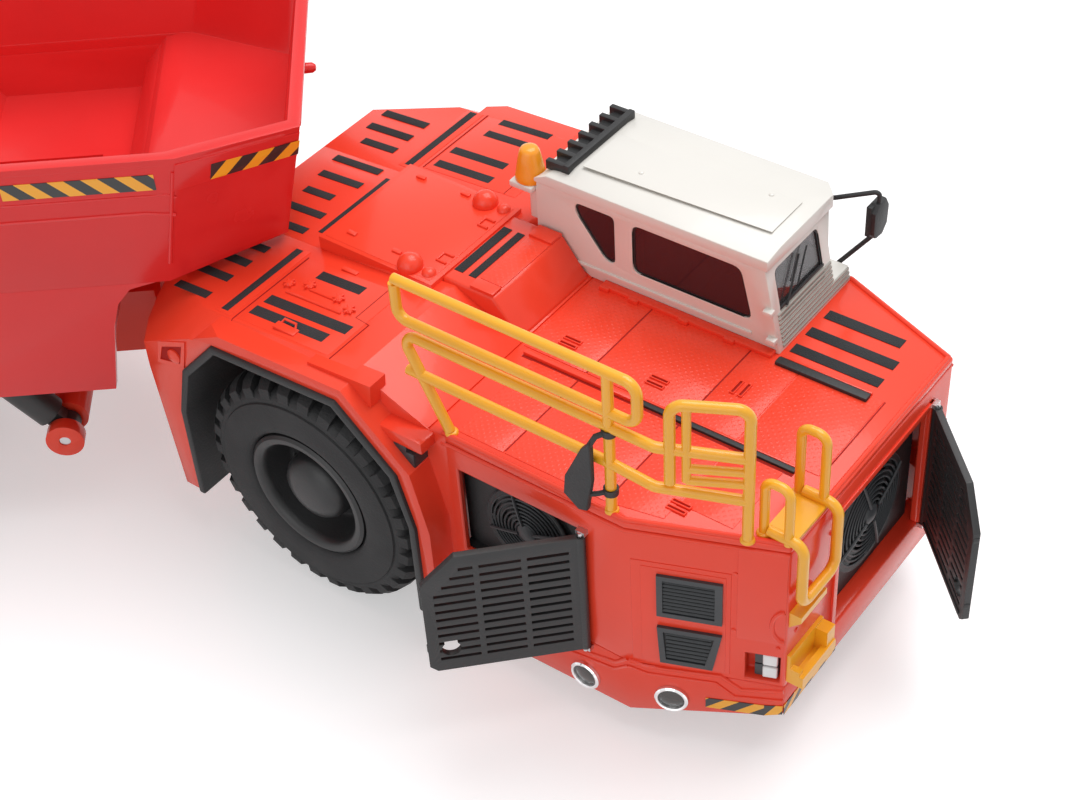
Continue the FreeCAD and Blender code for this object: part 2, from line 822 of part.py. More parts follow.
def on_taper(piece, side):
    """Seat a piece built along +X on the nose's tapered side, from its bend."""
    if side == "right":
        return seat(piece, "bend_x", "-deck_half", 0, (0, 0, 1), NOSE_ANGLE)
    return seat(piece, "bend_x", "deck_half", 0, (0, 0, 1), f"-{NOSE_ANGLE}")


def inward(side, low, high):
    """A run of depth into the nose from its tapered side."""
    return (low, high) if side == "right" else (f"-({high})", f"-({low})")


pockets = []
housings = []
for side in SIDES:
    pockets.append(on_taper(block(f"lamp_pocket_{side}", ("pocket_start", "pocket_end"),
                                  inward(side, "-1", "pocket_depth"), ("pocket_low", "pocket_high")), side))
    housing = on_taper(block(f"lamp_housing_{side}", ("pocket_start - skin", "pocket_end + skin"),
                             inward(side, "0.1", "pocket_depth + skin"),
                             ("bumper_top", "pocket_high + skin")), side)
    housings.append(common(f"lamp_housing_{side}_kept", nose_outer, housing))
nose_hollow = cut("nose_hollow", nose_outer, [nose_inner])
node(cut("nose_cut", fuse("nose_raw", [nose_hollow] + housings), [bay_window, mouth] + pockets), "nose_shell", "front")

deck = prism("deck_plate_body", "XY", nose_plan("0"), "deck_top - deck_plate", "deck_top")
node(deck, "deck", "front")

tuck = both([
    ("deck_start", "deck_half"),
    ("bend_x", "deck_half"),
    ("nose_x", "nose_half"),
])
bumper_side = prism("bumper_side", "XZ", [
    ("deck_start", "belly + 4"),
    ("deck_start + 8", "belly"),
    ("bend_x", "belly_bend"),
    ("nose_x - bumper_tuck", "belly_nose"),
    ("nose_x", "belly_lip"),
    ("nose_x", "bumper_top"),
    ("deck_start", "bumper_top"),
], "-deck_half", "deck_half")
bumper_plan = prism("bumper_plan", "XY", tuck, "belly", "bumper_top")
bumper_inner = prism("bumper_inner", "XY", nose_plan("bumper_wall", "deck_start - 1"), "belly - 1", "bumper_top + 1")
node(cut("bumper_cut", common("bumper_outer", bumper_plan, bumper_side), [bumper_inner]), "bumper", "front")

# ---------------------------------------------------------------- radiators, fan guards and grille doors


def fan_guard(name, axis, centre, outer):
    """Three rings on a cross of bars, with the fan's hub in the middle."""
    x, y, z = centre
    parts = []
    for i, share in enumerate((1.0, 0.72, 0.46)):
        big = rod(f"{name}_ring_{i}", axis, centre, "guard_bar", f"{share} * {outer}")
        start = (f"{x} - 1", y, z) if axis == "x" else (x, f"{y} - 1", z)
        small = rod(f"{name}_ring_hole_{i}", axis, start, "guard_bar + 2", f"{share} * {outer} - guard_bar")
        parts.append(cut(f"{name}_ring_cut_{i}", big, [small]))
    parts.append(rod(f"{name}_hub", axis, centre, "guard_bar", "fan_hub"))
    across = (f"{y} - {outer} + 0.2", f"{y} + {outer} - 0.2")
    along = (f"{x} - {outer} + 0.2", f"{x} + {outer} - 0.2")
    thick = (f"{x}", f"{x} + guard_bar") if axis == "x" else (f"{y}", f"{y} + guard_bar")
    rise = (f"{z} - {outer} + 0.2", f"{z} + {outer} - 0.2")
    level = (f"{z} - guard_bar / 2", f"{z} + guard_bar / 2")
    if axis == "x":
        parts.append(block(f"{name}_bar_0", thick, across, level))
        parts.append(block(f"{name}_bar_1", thick, (f"{y} - guard_bar / 2", f"{y} + guard_bar / 2"), rise))
    else:
        parts.append(block(f"{name}_bar_0", along, thick, level))
        parts.append(block(f"{name}_bar_1", (f"{x} - guard_bar / 2", f"{x} + guard_bar / 2"), thick, rise))
    return parts


side_core = block("side_core", ("bay_start - 1", "bay_end + 1"),
                  ("-deck_half + 2 * skin", "-deck_half + bay_depth"), ("bay_low - 1", "bay_high + 1"))
side_edge = block("side_core_edge", ("bay_start - 1", "bay_end + 1"), ("-deck_half + skin", "-deck_half + 3 * skin"),
                  ("bay_low - 1", "bay_low"))
side_guard = fan_guard("side_guard", "y", ("(bay_start + bay_end) / 2", "-deck_half + 2 * skin - guard_bar",
                                           "(bay_low + bay_high) / 2"), "fan_radius")
node(fuse("side_radiator_fuse", [side_core, side_edge] + side_guard), "radiator_side", "front")

front_core = block("front_core", ("nose_x - mouth_depth", "nose_x - 2 * skin"),
                   ("mouth_right - 1", "mouth_left + 1"), ("bumper_top", "mouth_high + 1"))
front_edge = block("front_core_edge", ("nose_x - 3 * skin", "nose_x - skin"), ("mouth_right - 1", "mouth_left + 1"),
                   ("mouth_high", "mouth_high + 1"))
front_guard = fan_guard("front_guard", "x", ("nose_x - 2 * skin", "(mouth_right + mouth_left) / 2",
                                             "(bumper_top + mouth_high) / 2"), "(fan_radius + 2)")
node(fuse("front_radiator_fuse", [front_core, front_edge] + front_guard), "radiator_front", "front")


def grille_door(label, width, height):
    """A louvred door standing along +X from its hinge line, foot at the origin."""
    plate = prism(label + "_plate", "XZ", [
        ("0", "0"),
        ("0", height),
        (f"{width} - door_cut", height),
        (width, f"{height} - door_cut"),
        (width, "door_nick"),
        (f"{width} - door_nick", "0"),
    ], "-door_plate / 2", "door_plate / 2")
    slots = []
    third = f"({width} - 2 * door_border - 2 * door_rib) / 3"
    pitch = f"({height} - 2 * door_border) / slat_rows"
    for i in range(int(SIZES["slat_rows"])):
        low = f"door_border + {i + 0.3} * {pitch}"
        for j in range(3):
            start = f"door_border + {j} * ({third} + door_rib)"
            end = f"{start} + {third}"
            if j == 2 and i > 8:
                end = f"{start} + {third} - door_cut * {(i - 8) / 4}"
            slots.append(block(f"{label}_slot_{i}_{j}", (start, end), ("-door_plate", "door_plate"),
                               (low, f"{low} + slat_gap")))
    hole = rod(label + "_latch", "y", (f"{width} - 2 * door_border", "-door_plate", "2.6 * door_border"),
               "2 * door_plate", "latch_radius")
    knuckle = rod(label + "_knuckle", "z", (0, 0, 0), height, "knuckle_radius")
    bore = rod(label + "_bore", "z", (0, 0, "-1"), f"{height} + 2", "hinge_pin + running_gap")
    return cut(label + "_whole", fuse(label + "_raw", [cut(label + "_cut", plate, slots + [hole]), knuckle]), [bore])


def hinge(label, corner, reach, low, high):
    """A door's hinge pin, held by a bracket at each end."""
    (x, y), (dx, dy) = corner, reach
    pin = rod(label + "_pin", "z", (f"{x} + {dx}", f"{y} + {dy}", f"{low} - knuckle_radius"),
              f"{high} - ({low}) + 2 * knuckle_radius", "hinge_pin")
    arms = []
    for name, base in (("low", f"{low} - knuckle_radius - 0.1"), ("high", f"{high} + 0.1")):
        along_x = (x, f"{x} + {dx}") if dy == "0" else (f"{x} + {dx} - knuckle_radius", f"{x} + {dx} + knuckle_radius")
        along_y = (f"{y} + {dy} - knuckle_radius", f"{y} + {dy} + knuckle_radius") if dy == "0" else (f"{y} + {dy}", y)
        arms.append(block(f"{label}_{name}", along_x, along_y, (base, f"{base} + knuckle_radius")))
    return fuse(label + "_fuse", [pin] + arms)


side_door = grille_door("side_grille", "side_door_width", "bay_high - bay_low + side_door_drop")
place(side_door, "bay_end + door_hinge_gap", "-deck_half - door_hinge_gap", "bay_low - side_door_drop", (0, 0, 1),
      "side_door_angle")
node(side_door, "grille_door_side", "front")
front_door = grille_door("front_grille", "front_door_width", "mouth_high - bumper_top")
place(front_door, "nose_x + door_hinge_gap", "mouth_left + door_hinge_gap", "bumper_top", (0, 0, 1),
      "front_door_angle")
node(front_door, "grille_door_front", "front")
node([
    hinge("side_hinge", ("bay_end + door_hinge_gap", "-deck_half"), ("0", "-door_hinge_gap"),
          "bay_low - side_door_drop", "bay_high"),
    hinge("front_hinge", ("nose_x", "mouth_left + door_hinge_gap"), ("door_hinge_gap", "0"), "bumper_top",
          "mouth_high"),
], "door_hinges", "front")

# ---------------------------------------------------------------- cab

FRONT_LEAN = "(cab_toe - cab_top_front) / (roof_low - deck_top)"
CAB_SIDE = [
    ("cab_rear", "deck_top"),
    ("cab_rear", "roof_low"),
    ("cab_top_front", "roof_low"),
    ("cab_toe", "deck_top"),
]
CAB_INSIDE = [
    ("cab_rear + cab_wall", "deck_top - 1"),
    ("cab_rear + cab_wall", "roof_low + 1"),
    (f"cab_top_front - cab_wall - {FRONT_LEAN}", "roof_low + 1"),
    (f"cab_toe - cab_wall + {FRONT_LEAN}", "deck_top - 1"),
]


def screen_x(z, depth):
    """Where the windscreen's wall stands at a height, behind its face by a depth."""
    return f"cab_toe - {depth} - ({z} - deck_top) * {FRONT_LEAN}"


cab_outer = prism("cab_outer", "XZ", CAB_SIDE, "cab_right", "cab_left")
cab_inner = prism("cab_inner", "XZ", CAB_INSIDE, "cab_right + cab_wall", "cab_left - cab_wall")


def corner_plan(inset):
    """The triangle that the cab's left front corner loses, behind a wall."""
    return [
        ("cab_toe + 1", f"corner_y - {inset}"),
        ("cab_toe + 1", "cab_left + 1"),
        (f"corner_x - {inset}", "cab_left + 1"),
        (f"corner_x - {inset}", f"cab_left - {inset} / 2"),
        (f"cab_top_front + 1 - {inset}", f"corner_y - {inset} / 2"),
    ]


corner_cut = prism("cab_corner_cut", "XY", corner_plan("0"), "corner_low", "roof_low + 1")
corner_keep = prism("cab_corner_keep", "XY", corner_plan("cab_wall"), "deck_top - 2", "roof_low + 2")
inner_kept = cut("cab_inner_kept", cab_inner, [corner_keep])


def side_opening(name, gap, low, high):
    """The two window openings of a side wall, or panes smaller by a gap."""
    front = prism(f"{name}_side", "XZ", [
        (f"side_window_start + {gap}", f"window_low + {gap}"),
        (f"side_window_start + {gap}", f"window_high - {gap}"),
        (f"side_window_end - 2 - {gap}", f"window_high - {gap}"),
        (f"side_window_end - {gap}", f"window_low + {gap}"),
    ], low, high)
    quarter = prism(f"{name}_quarter", "XZ", [
        (f"quarter_start + {gap}", f"window_high - 1.6 - {gap}"),
        (f"quarter_start + {gap}", f"window_high - {gap}"),
        (f"quarter_end - {gap}", f"window_high - {gap}"),
        (f"quarter_end - {gap}", f"window_low + {gap}"),
        (f"quarter_end - quarter_foot + {gap}", f"window_low + {gap}"),
    ], low, high)
    return [front, quarter]


def screen_opening(name, gap, back, front):
    """The windscreen's opening or its pane, between two depths behind the face."""
    return prism(name, "XZ", [
        (screen_x("window_low", back), f"window_low + {gap}"),
        (screen_x("window_high", back), f"window_high - {gap}"),
        (screen_x("window_high", front), f"window_high - {gap}"),
        (screen_x("window_low", front), f"window_low + {gap}"),
    ], f"cab_right + pillar + {gap}", f"corner_y - pillar - {gap}")


right_holes = side_opening("right_hole", "0", "cab_right - 1", "cab_right + 2 * cab_wall")
left_holes = side_opening("left_hole", "0", "cab_left - 2 * cab_wall", "cab_left + 1")
screen_hole = screen_opening("screen_hole", "0", "3 * cab_wall", "(-1)")
beacon_room = rod("beacon_room", "z", ("beacon_x", "beacon_y", "beacon_low"), "2 * (beacon_high - beacon_low)",
                  "beacon_radius + 2 * running_gap")
node(cut("cab_cut", cab_outer, [inner_kept, corner_cut, beacon_room] + right_holes + left_holes + [screen_hole]),
     "cab_shell", "front")

roof_side = prism("roof_side", "XZ", [
    ("cab_rear - roof_lap", "roof_low"),
    ("cab_rear - roof_lap", "roof_low + 0.4"),
    ("cab_rear + 2.4", "roof_top - 0.9"),
    ("cab_rear + 8", "roof_top"),
    ("cab_top_front - 3", "roof_top"),
    ("cab_top_front + roof_lap", "roof_top - 0.5"),
    ("cab_top_front + roof_lap", "roof_low"),
], "cab_right - 1", "cab_left + 1")
roof_face = prism("roof_face", "YZ", [
    ("cab_right - roof_lap / 2", "roof_low"),
    ("cab_right - roof_lap / 2", "roof_edge"),
    ("cab_right + roof_slope_y", "roof_top"),
    ("cab_left - roof_slope_y", "roof_top"),
    ("cab_left + roof_lap / 2", "roof_edge"),
    ("cab_left + roof_lap / 2", "roof_low"),
], "cab_rear - 2", "cab_toe")
roof_corner = prism("roof_corner", "XY", [
    ("cab_toe + 1", "corner_y + roof_lap"),
    ("cab_toe + 1", "cab_left + 2"),
    ("corner_x", "cab_left + 2"),
    ("corner_x", "cab_left + roof_lap / 2"),
    ("cab_top_front + 1 + roof_lap", "corner_y + roof_lap"),
], "roof_low - 1", "roof_top + 1")
node(cut("roof_cut", common("roof_whole", roof_side, roof_face), [roof_corner, beacon_room]), "cab_roof", "front")

panes = []
for side in SIDES:
    middle = "(cab_right + cab_wall / 2)" if side == "right" else "(cab_left - cab_wall / 2)"
    panes += side_opening(f"pane_{side}", "glass_gap", f"{middle} - glass / 2", f"{middle} + glass / 2")
node(panes, "cab_side_glass", "front")
node(screen_opening("screen_pane", "glass_gap", "0.9", "0.4"), "windscreen", "front")

SEAT_Y = ("cab_right + seat_inset", "cab_left - seat_inset")
seat_base = block("seat_base", ("seat_x", "seat_x + seat_depth"), SEAT_Y, ("deck_top", "deck_top + seat_high"))
seat_back = block("seat_back", ("seat_x", "seat_x + seat_back"), SEAT_Y, ("deck_top + seat_high", "window_high - 1.5"))
node(fuse("seat_fuse", [seat_base, seat_back]), "seat", "front")

RACK_Y = ("cab_right + 1.4", "cab_left - 1.4")
rack_start = "cab_rear + 1.6"
rack_parts = [
    block("rack_base", (rack_start, f"{rack_start} + rack_depth"), RACK_Y, ("roof_top - 1.1", "roof_top - 0.3")),
    block("rack_front", (f"{rack_start} + rack_depth - rack_bar", f"{rack_start} + rack_depth"), RACK_Y,
          ("roof_top - 1.1", "roof_top + rack_high / 2")),
]
for i in range(7):
    rib_y = f"cab_right + 1.4 + {i} * (cab_left - cab_right - 2.8 - rack_rib) / 6"
    rack_parts.append(block(f"rack_rib_{i}", (f"{rack_start} - 0.6", f"{rack_start} + rack_depth"),
                            (rib_y, f"{rib_y} + rack_rib"), ("roof_top - 1.1", "roof_top + rack_high / 2 - 0.2")))
node(cut("rack_cut", fuse("rack_whole", rack_parts), [common("rack_roof", roof_side, roof_face)]), "roof_louvre",
     "front")

# the beacon's shelf stands on the hood behind the cab
shelf = block("beacon_shelf", ("beacon_x - beacon_radius", "cab_rear - running_gap"),
              ("beacon_y - beacon_radius", "beacon_y + beacon_radius"), ("beacon_low - bracket_plate", "beacon_low"))
shelf_leg = block("beacon_leg", ("cab_rear - roof_lap - 1", "cab_rear - running_gap"),
                  ("cab_right + 0.4", "cab_right + 0.4 + 2 * bracket_plate"), ("hood_top + 0.5", "beacon_low"))
node(fuse("beacon_bracket_fuse", [shelf, shelf_leg]), "beacon_bracket", "front")
beacon_dome = doc.addObject("Part::Cone", "beacon_dome")
bind(beacon_dome, "Radius1", "beacon_radius")
bind(beacon_dome, "Radius2", "beacon_tip")
bind(beacon_dome, "Height", "beacon_high - beacon_low")
place(beacon_dome, "beacon_x", "beacon_y", "beacon_low")
node(beacon_dome, "beacon", "front")

# ---------------------------------------------------------------- handrail, gate and ladder

rail_hoop = tube("rail_hoop", [
    ("rail_start", "rail_y", "rail_top"),
    ("rail_end", "rail_y", "rail_top"),
    ("rail_end", "rail_y", "rail_under"),
    ("rail_start", "rail_y", "rail_under"),
    ("rail_start", "rail_y", "rail_top - rail_radius"),
], "rail_radius", "rail_bend")
rail_brace = tube("rail_brace", [
    ("rail_post", "rail_y", "rail_second"),
    ("rail_start", "rail_y", "rail_second"),
    ("rail_foot", "rail_y", "deck_top + rail_radius / 2"),
], "rail_radius", "rail_bend")
rail_middle = tube("rail_middle", [
    ("rail_start + rail_radius", "rail_y", "rail_third"),
    ("rail_post", "rail_y", "rail_third"),
], "rail_radius", "rail_bend")
rail_stand = tube("rail_stand", [
    ("rail_post", "rail_y", "rail_top"),
    ("rail_post", "rail_y", "deck_top"),
], "rail_radius", "rail_bend")
rail_upper = tube("rail_upper", [
    ("rail_post", "rail_y", "rail_second"),
    ("gate_start - rail_bend", "rail_y", "rail_second"),
    ("gate_x", "gate_y", "rail_second - 0.6"),
], "rail_radius", "rail_bend")
rail_lower = tube("rail_lower", [
    ("rail_post", "rail_y", "rail_third"),
    ("gate_start - rail_bend", "rail_y", "rail_third - 0.5"),
    ("gate_x", "gate_y", "rail_third - 1.5"),
], "rail_radius", "rail_bend")
node(fuse("handrail_fuse", [rail_hoop, rail_brace, rail_middle, rail_stand, rail_upper, rail_lower]),
     "handrail", "front")

gate_hoop = tube("gate_hoop", [
    ("gate_start", "gate_start_y", "rail_third + rail_radius"),
    ("gate_start", "gate_start_y", "gate_top"),
    ("gate_x", "gate_y", "gate_top"),
    ("gate_x", "gate_y", "deck_top"),
], "rail_radius", "rail_bend")
gate_bars = [gate_hoop]
inner_y = "gate_start_y + (gate_y - gate_start_y) * (gate_inner - gate_start) / (gate_x - gate_start)"
for name, height in (("mid", "gate_mid"), ("low", "gate_low")):
    gate_bars.append(tube(f"gate_{name}", [
        ("gate_inner", inner_y, height),
        ("gate_x", "gate_y", height),
    ], "rail_radius * 0.8", "rail_bend"))
gate_bars.append(tube("gate_stile", [
    ("gate_inner", inner_y, "gate_low"),
    ("gate_inner", inner_y, "gate_top"),
], "rail_radius * 0.8", "rail_bend"))
gate_raw = fuse("gate_raw", gate_bars)
node(cut("gate_cut", gate_raw, [fuse("gate_rails", [rail_upper, rail_lower])]), "gate", "front")

ladder_parts = [
    tube("ladder_bar", [
        ("ladder_back + rail_radius", "ladder_left", "deck_top + ladder_lift"),
        ("ladder_out", "ladder_left", "deck_top + ladder_lift"),
        ("ladder_out", "ladder_left", "ladder_foot"),
        ("ladder_out", "ladder_right", "ladder_foot"),
        ("ladder_out", "ladder_right", "deck_top + ladder_lift"),
        ("ladder_back + rail_radius", "ladder_right", "deck_top + ladder_lift"),
    ], "rail_radius", "rail_bend"),
    block("ladder_platform", ("ladder_back", "ladder_front + rail_radius"), ("ladder_right", "ladder_left"),
          ("deck_top", "deck_top + step_plate / 2")),
]
for name, y, top in (("right", "ladder_right", "loop_right"), ("left", "ladder_left", "loop_left")):
    ladder_parts.append(tube(f"ladder_loop_{name}", [
        ("ladder_back", y, "deck_top"),
        ("ladder_back", y, top),
        ("ladder_front", y, top),
        ("ladder_front", y, "deck_top"),
    ], "loop_radius", "loop_bend"))
rung = prism("ladder_rung", "XZ", [
    ("nose_x", "rung_low"),
    ("nose_x + rung_depth", "rung_low + rung_depth"),
    ("nose_x + rung_depth", "rung_low + rung_depth + step_plate"),
    ("nose_x", "rung_low + rung_depth + step_plate"),
], "ladder_right", "rung_left")
PAN_Y = ("ladder_right", "ladder_left")
PAN_OUT = "nose_x + pan_depth"
pan_parts = [
    block("pan_floor", ("nose_x", PAN_OUT), PAN_Y, ("pan_low", "pan_low + step_plate")),
    block("pan_wall", ("nose_x", "nose_x + step_plate / 2"), PAN_Y, ("pan_low", "pan_back")),
    block("pan_edge", (f"{PAN_OUT} - step_plate", PAN_OUT), PAN_Y, ("pan_low", "pan_low + pan_lip")),
    block("pan_lug_left", ("nose_x", f"{PAN_OUT} - 0.2"), ("ladder_left - pan_lug", "ladder_left"),
          ("pan_low", "pan_back - 0.4")),
    block("pan_lug_right", ("nose_x", f"{PAN_OUT} - 0.6"), ("ladder_right", "ladder_right + pan_lug / 2"),
          ("pan_low", "pan_low + pan_lip + 0.8")),
]
node([fuse("ladder_fuse", ladder_parts), rung, fuse("pan_fuse", pan_parts)], "ladder", "front")

# ---------------------------------------------------------------- rear frame

rails = [block(f"rail_{side}", ("rail_rear", "rail_front"), span(side, "rail_out - rail_wall", "rail_out"),
               ("rail_low", "rail_high")) for side in SIDES]
front_cross = block("front_cross", ("rail_front - cross_depth", "rail_front"), ("-rail_out", "rail_out"),
                    ("rail_low", "rail_high"))
rear_cross = block("rear_cross", ("rail_rear", "rail_rear + cross_depth"), ("-rail_out", "rail_out"),
                   ("rail_low", "rail_high"))
tongue = block("tongue", ("rail_front - 1", "0"), ("-ear_radius", "ear_radius"),
               ("lower_ear + ear_plate + ear_gap", "upper_ear - ear_gap"))
tongue_nose = rod("tongue_nose", "z", (0, 0, "lower_ear + ear_plate + ear_gap"),
                  "upper_ear - lower_ear - ear_plate - 2 * ear_gap", "ear_radius")
tongue_bore = rod("tongue_bore", "z", (0, 0, "lower_ear"), "upper_ear - lower_ear + 2", "pin_radius + running_gap")
rear_bore = rod("rear_axle_bore", "y", ("rear_axle_u", "-rail_out - 1", "tyre_radius"), "2 * rail_out + 2",
                "axle_radius + running_gap")
hinge_lugs = []
for side in SIDES:
    low, high = span(side, "rail_out - rail_wall", "rail_out")
    hinge_lugs.append(block(f"hinge_lug_{side}", ("bed_hinge_u - lug_radius", "bed_hinge_u + lug_radius"),
                            (low, high), ("rail_low", "bed_hinge_z")))
    hinge_lugs.append(rod(f"hinge_lug_{side}_round", "y", ("bed_hinge_u", low, "bed_hinge_z"), "rail_wall",
                          "lug_radius"))
hoist_beam = rod("hoist_beam", "y", ("hoist_foot_u", "-hoist_offset - hoist_boss", "hoist_foot_z"),
                 "2 * (hoist_offset + hoist_boss)", "lug_radius")
beam_web = block("hoist_beam_web", ("hoist_foot_u - lug_radius", "hoist_foot_u + lug_radius"),
                 ("-rail_out", "rail_out"), ("hoist_foot_z", "rail_low + 2"))
foot_slots = [block(f"foot_slot_{side}", ("hoist_foot_u - lug_radius - 1", "hoist_foot_u + lug_radius + 1"),
                    span(side, "hoist_offset - eye_half - ear_gap", "hoist_offset + eye_half + ear_gap"),
                    ("hoist_foot_z - eye_radius - 0.4", "hoist_foot_z + lug_radius + 1")) for side in SIDES]
bed_bore = rod("bed_pin_bore", "y", ("bed_hinge_u", "-rail_out - 1", "bed_hinge_z"), "2 * rail_out + 2",
               "bed_pin_radius + running_gap")
foot_bore = rod("foot_pin_bore", "y", ("hoist_foot_u", "-hoist_offset - hoist_boss - 1", "hoist_foot_z"),
                "2 * (hoist_offset + hoist_boss + 1)", "eye_pin_radius")
rear_base_hole = rod("rear_base_hole", "z", ("rail_rear + base_hole_inset", 0, "rail_low - 1"),
                     "base_hole_depth + 1", "base_hole_radius")
frame_parts = rails + [front_cross, rear_cross, tongue, tongue_nose, hoist_beam, beam_web] + hinge_lugs
node(cut("rear_frame_cut", fuse("rear_frame_raw", frame_parts),
         [tongue_bore, rear_bore, bed_bore, foot_bore, rear_base_hole] + foot_slots), "rear_frame", "rear")
foot_pins = []
for side in SIDES:
    low, high = span(side, "hoist_offset - eye_half - ear_gap - 2", "hoist_offset + eye_half + ear_gap + 2")
    foot_pins.append(rod(f"foot_pin_{side}", "y", ("hoist_foot_u", low, "hoist_foot_z"), f"({high}) - ({low})",
                         "eye_pin_radius - running_gap"))
node(foot_pins, "hoist_pins", "rear")
node(rod("bed_pin_rod", "y", ("bed_hinge_u", "-rail_out - bed_ear - 1", "bed_hinge_z"),
         "2 * (rail_out + bed_ear + 1)", "bed_pin_radius"), "bed_pin", "rear")

# ---------------------------------------------------------------- dump box


def tub(name, inset, low, high):
    """The box's upper body, lofted from its low plan to its rim."""
    plans = (
        (low, (("box_front_low", "box_front_low_half"), ("box_shoulder_low", "box_waist_half"),
               ("tail_u", "box_waist_half"))),
        (high, (("box_front", "box_front_half"), ("box_shoulder", "box_half"), ("tail_u", "box_half"))),
    )
    sections = []
    for height, half in plans:
        corners = [(f"{u} - {inset}" if u != "tail_u" else f"{u} - 2 * {inset}", f"{v} - {inset}") for u, v in half]
        sections.append([(u, v, height) for u, v in both(corners)])
    return loft(name, sections)


tub_outer = tub("tub_outer", "0", "box_belly", "rim_height")
tub_inner = tub("tub_inner", "box_wall", "box_belly", "rim_height + 0.01")
tail_cut = prism("tail_cut", "XZ", [
    ("tail_kink", "box_belly - 1"),
    ("tail_kink", "box_belly"),
    ("tail_u", "tail_low"),
    ("tail_u - 1", "tail_low"),
    ("tail_u - 1", "box_belly - 1"),
], "-box_half - 1", "box_half + 1")
floor_keep = prism("floor_keep", "XZ", [
    ("box_front + 1", "box_floor"),
    ("box_front + 1", "rim_height + 2"),
    ("tail_u - tail_lip", "rim_height + 2"),
    ("tail_u - tail_lip", "tail_low + box_wall + 0.25"),
    ("tail_kink", "box_floor"),
], "-box_half - 1", "box_half + 1")
hollow = common("box_hollow", tub_inner, floor_keep)
tub_solid = cut("tub_solid", tub_outer, [tail_cut])

TROUGH_SIDE = [
    ("trough_front", "box_belly"),
    ("trough_front - trough_slope / 2", "trough_low + trough_slope / 2"),
    ("trough_front - trough_slope", "trough_low"),
    ("trough_rear", "trough_low"),
    ("trough_rear - trough_slope", "box_belly"),
]
TROUGH_INSIDE = [
    ("trough_front - box_wall", "box_floor + 1"),
    ("trough_front - trough_slope / 2 - box_wall", "trough_low + trough_slope / 2 + box_wall / 2"),
    ("trough_front - trough_slope - box_wall / 3", "trough_low + box_wall"),
    ("trough_rear + box_wall / 3", "trough_low + box_wall"),
    ("trough_rear - trough_slope + box_wall / 3", "box_floor + 1"),
]
# the well in the floor ahead of the wheels, with a rounded lip in front
SKIRT_FRONT = [
    ("skirt_front", "skirt_low + 12"),
    ("skirt_front + 1.3", "skirt_low + 16"),
    ("skirt_front + 3.5", "box_belly - 1"),
    ("skirt_front + 7.5", "box_belly"),
]
WELL_SIDE = [("skirt_front - 0.4", "well_low")] + SKIRT_FRONT + [
    ("well_rear - well_slope", "box_belly"),
    ("well_rear", "well_low"),
]
WELL_INSIDE = [
    ("skirt_front - 0.4 - box_wall", "well_low + box_wall"),
    ("skirt_front - box_wall", "skirt_low + 12"),
    ("skirt_front + 1.3 - box_wall", "skirt_low + 16"),
    ("skirt_front + 3.5 - box_wall", "box_belly - 1"),
    ("skirt_front + 5.6 - box_wall", "box_floor - 0.5"),
    ("skirt_front + 7.5 - box_wall", "box_floor + 0.02"),
    ("well_rear - well_slope + 0.1", "box_floor + 0.02"),
    ("well_rear - well_slope + box_wall", "box_belly + 0.5"),
    ("well_rear + box_wall / 2", "well_low + box_wall"),
]
WELL_HALF = "(box_waist_half - box_wall)"
trough_outer = prism("trough_outer", "XZ", TROUGH_SIDE, "-trough_half", "trough_half")
trough_inner = prism("trough_inner", "XZ", TROUGH_INSIDE, "-trough_half + box_wall", "trough_half - box_wall")
well_outer = prism("well_outer", "XZ", WELL_SIDE, f"-{WELL_HALF}", WELL_HALF)
well_inner = prism("well_inner", "XZ", WELL_INSIDE, f"-{WELL_HALF}", WELL_HALF)
node(cut("box_tub_cut", tub_solid, [hollow, trough_inner, well_inner]), "box_tub", "rear")
node(cut("box_trough_cut", trough_outer, [trough_inner, well_outer]), "box_trough", "rear")


def skirt(side):
    """A side wall of the well, cut away in front for the front unit's fender."""
    return prism(f"skirt_{side}", "XZ", [("skirt_front - 2.1", "skirt_low")] + SKIRT_FRONT + [
        ("skirt_rear", "box_belly"),
        ("skirt_rear", "skirt_low + 12"),
        ("skirt_rear + 6", "skirt_low"),
    ], *span(side, WELL_HALF, "box_waist_half"))


pan = cut("well_pan", well_outer, [well_inner, trough_inner])
node(fuse("box_well_fuse", [pan] + [skirt(side) for side in SIDES]), "box_well", "rear")

brackets = []
for side in SIDES:
    low, high = span(side, "rail_out + ear_gap", "rail_out + bed_ear")
    brackets.append(block(f"bed_ear_{side}", ("bed_hinge_u - lug_radius", "bed_hinge_u + lug_radius"), (low, high),
                          ("bed_hinge_z", "tail_low")))
    brackets.append(rod(f"bed_ear_{side}_round", "y", ("bed_hinge_u", low, "bed_hinge_z"), "bed_ear - ear_gap",
                        "lug_radius"))
    for edge, start in (("inner", "hoist_offset - eye_half - ear_gap - head_ear"),
                        ("outer", "hoist_offset + eye_half + ear_gap")):
        brackets.append(block(f"head_ear_{side}_{edge}", ("hoist_head_u - eye_radius", "hoist_head_u + eye_radius"),
                              span(side, start, f"{start} + head_ear"), ("hoist_head_z - head_ear", "box_belly")))
    low, high = span(side, "hoist_offset - eye_half - ear_gap - head_ear",
                     "hoist_offset + eye_half + ear_gap + head_ear")
    brackets.append(rod(f"head_pin_{side}", "y", ("hoist_head_u", low, "hoist_head_z"), f"({high}) - ({low})",
                        "eye_pin_radius"))
ear_bore = rod("bed_ear_bore", "y", ("bed_hinge_u", "-rail_out - bed_ear - 2", "bed_hinge_z"),
               "2 * (rail_out + bed_ear + 2)", "bed_pin_radius + running_gap")
node(cut("box_brackets_cut", fuse("box_brackets_raw", brackets), [tub_solid, ear_bore]), "box_brackets", "rear")

# ---------------------------------------------------------------- hoist cylinders

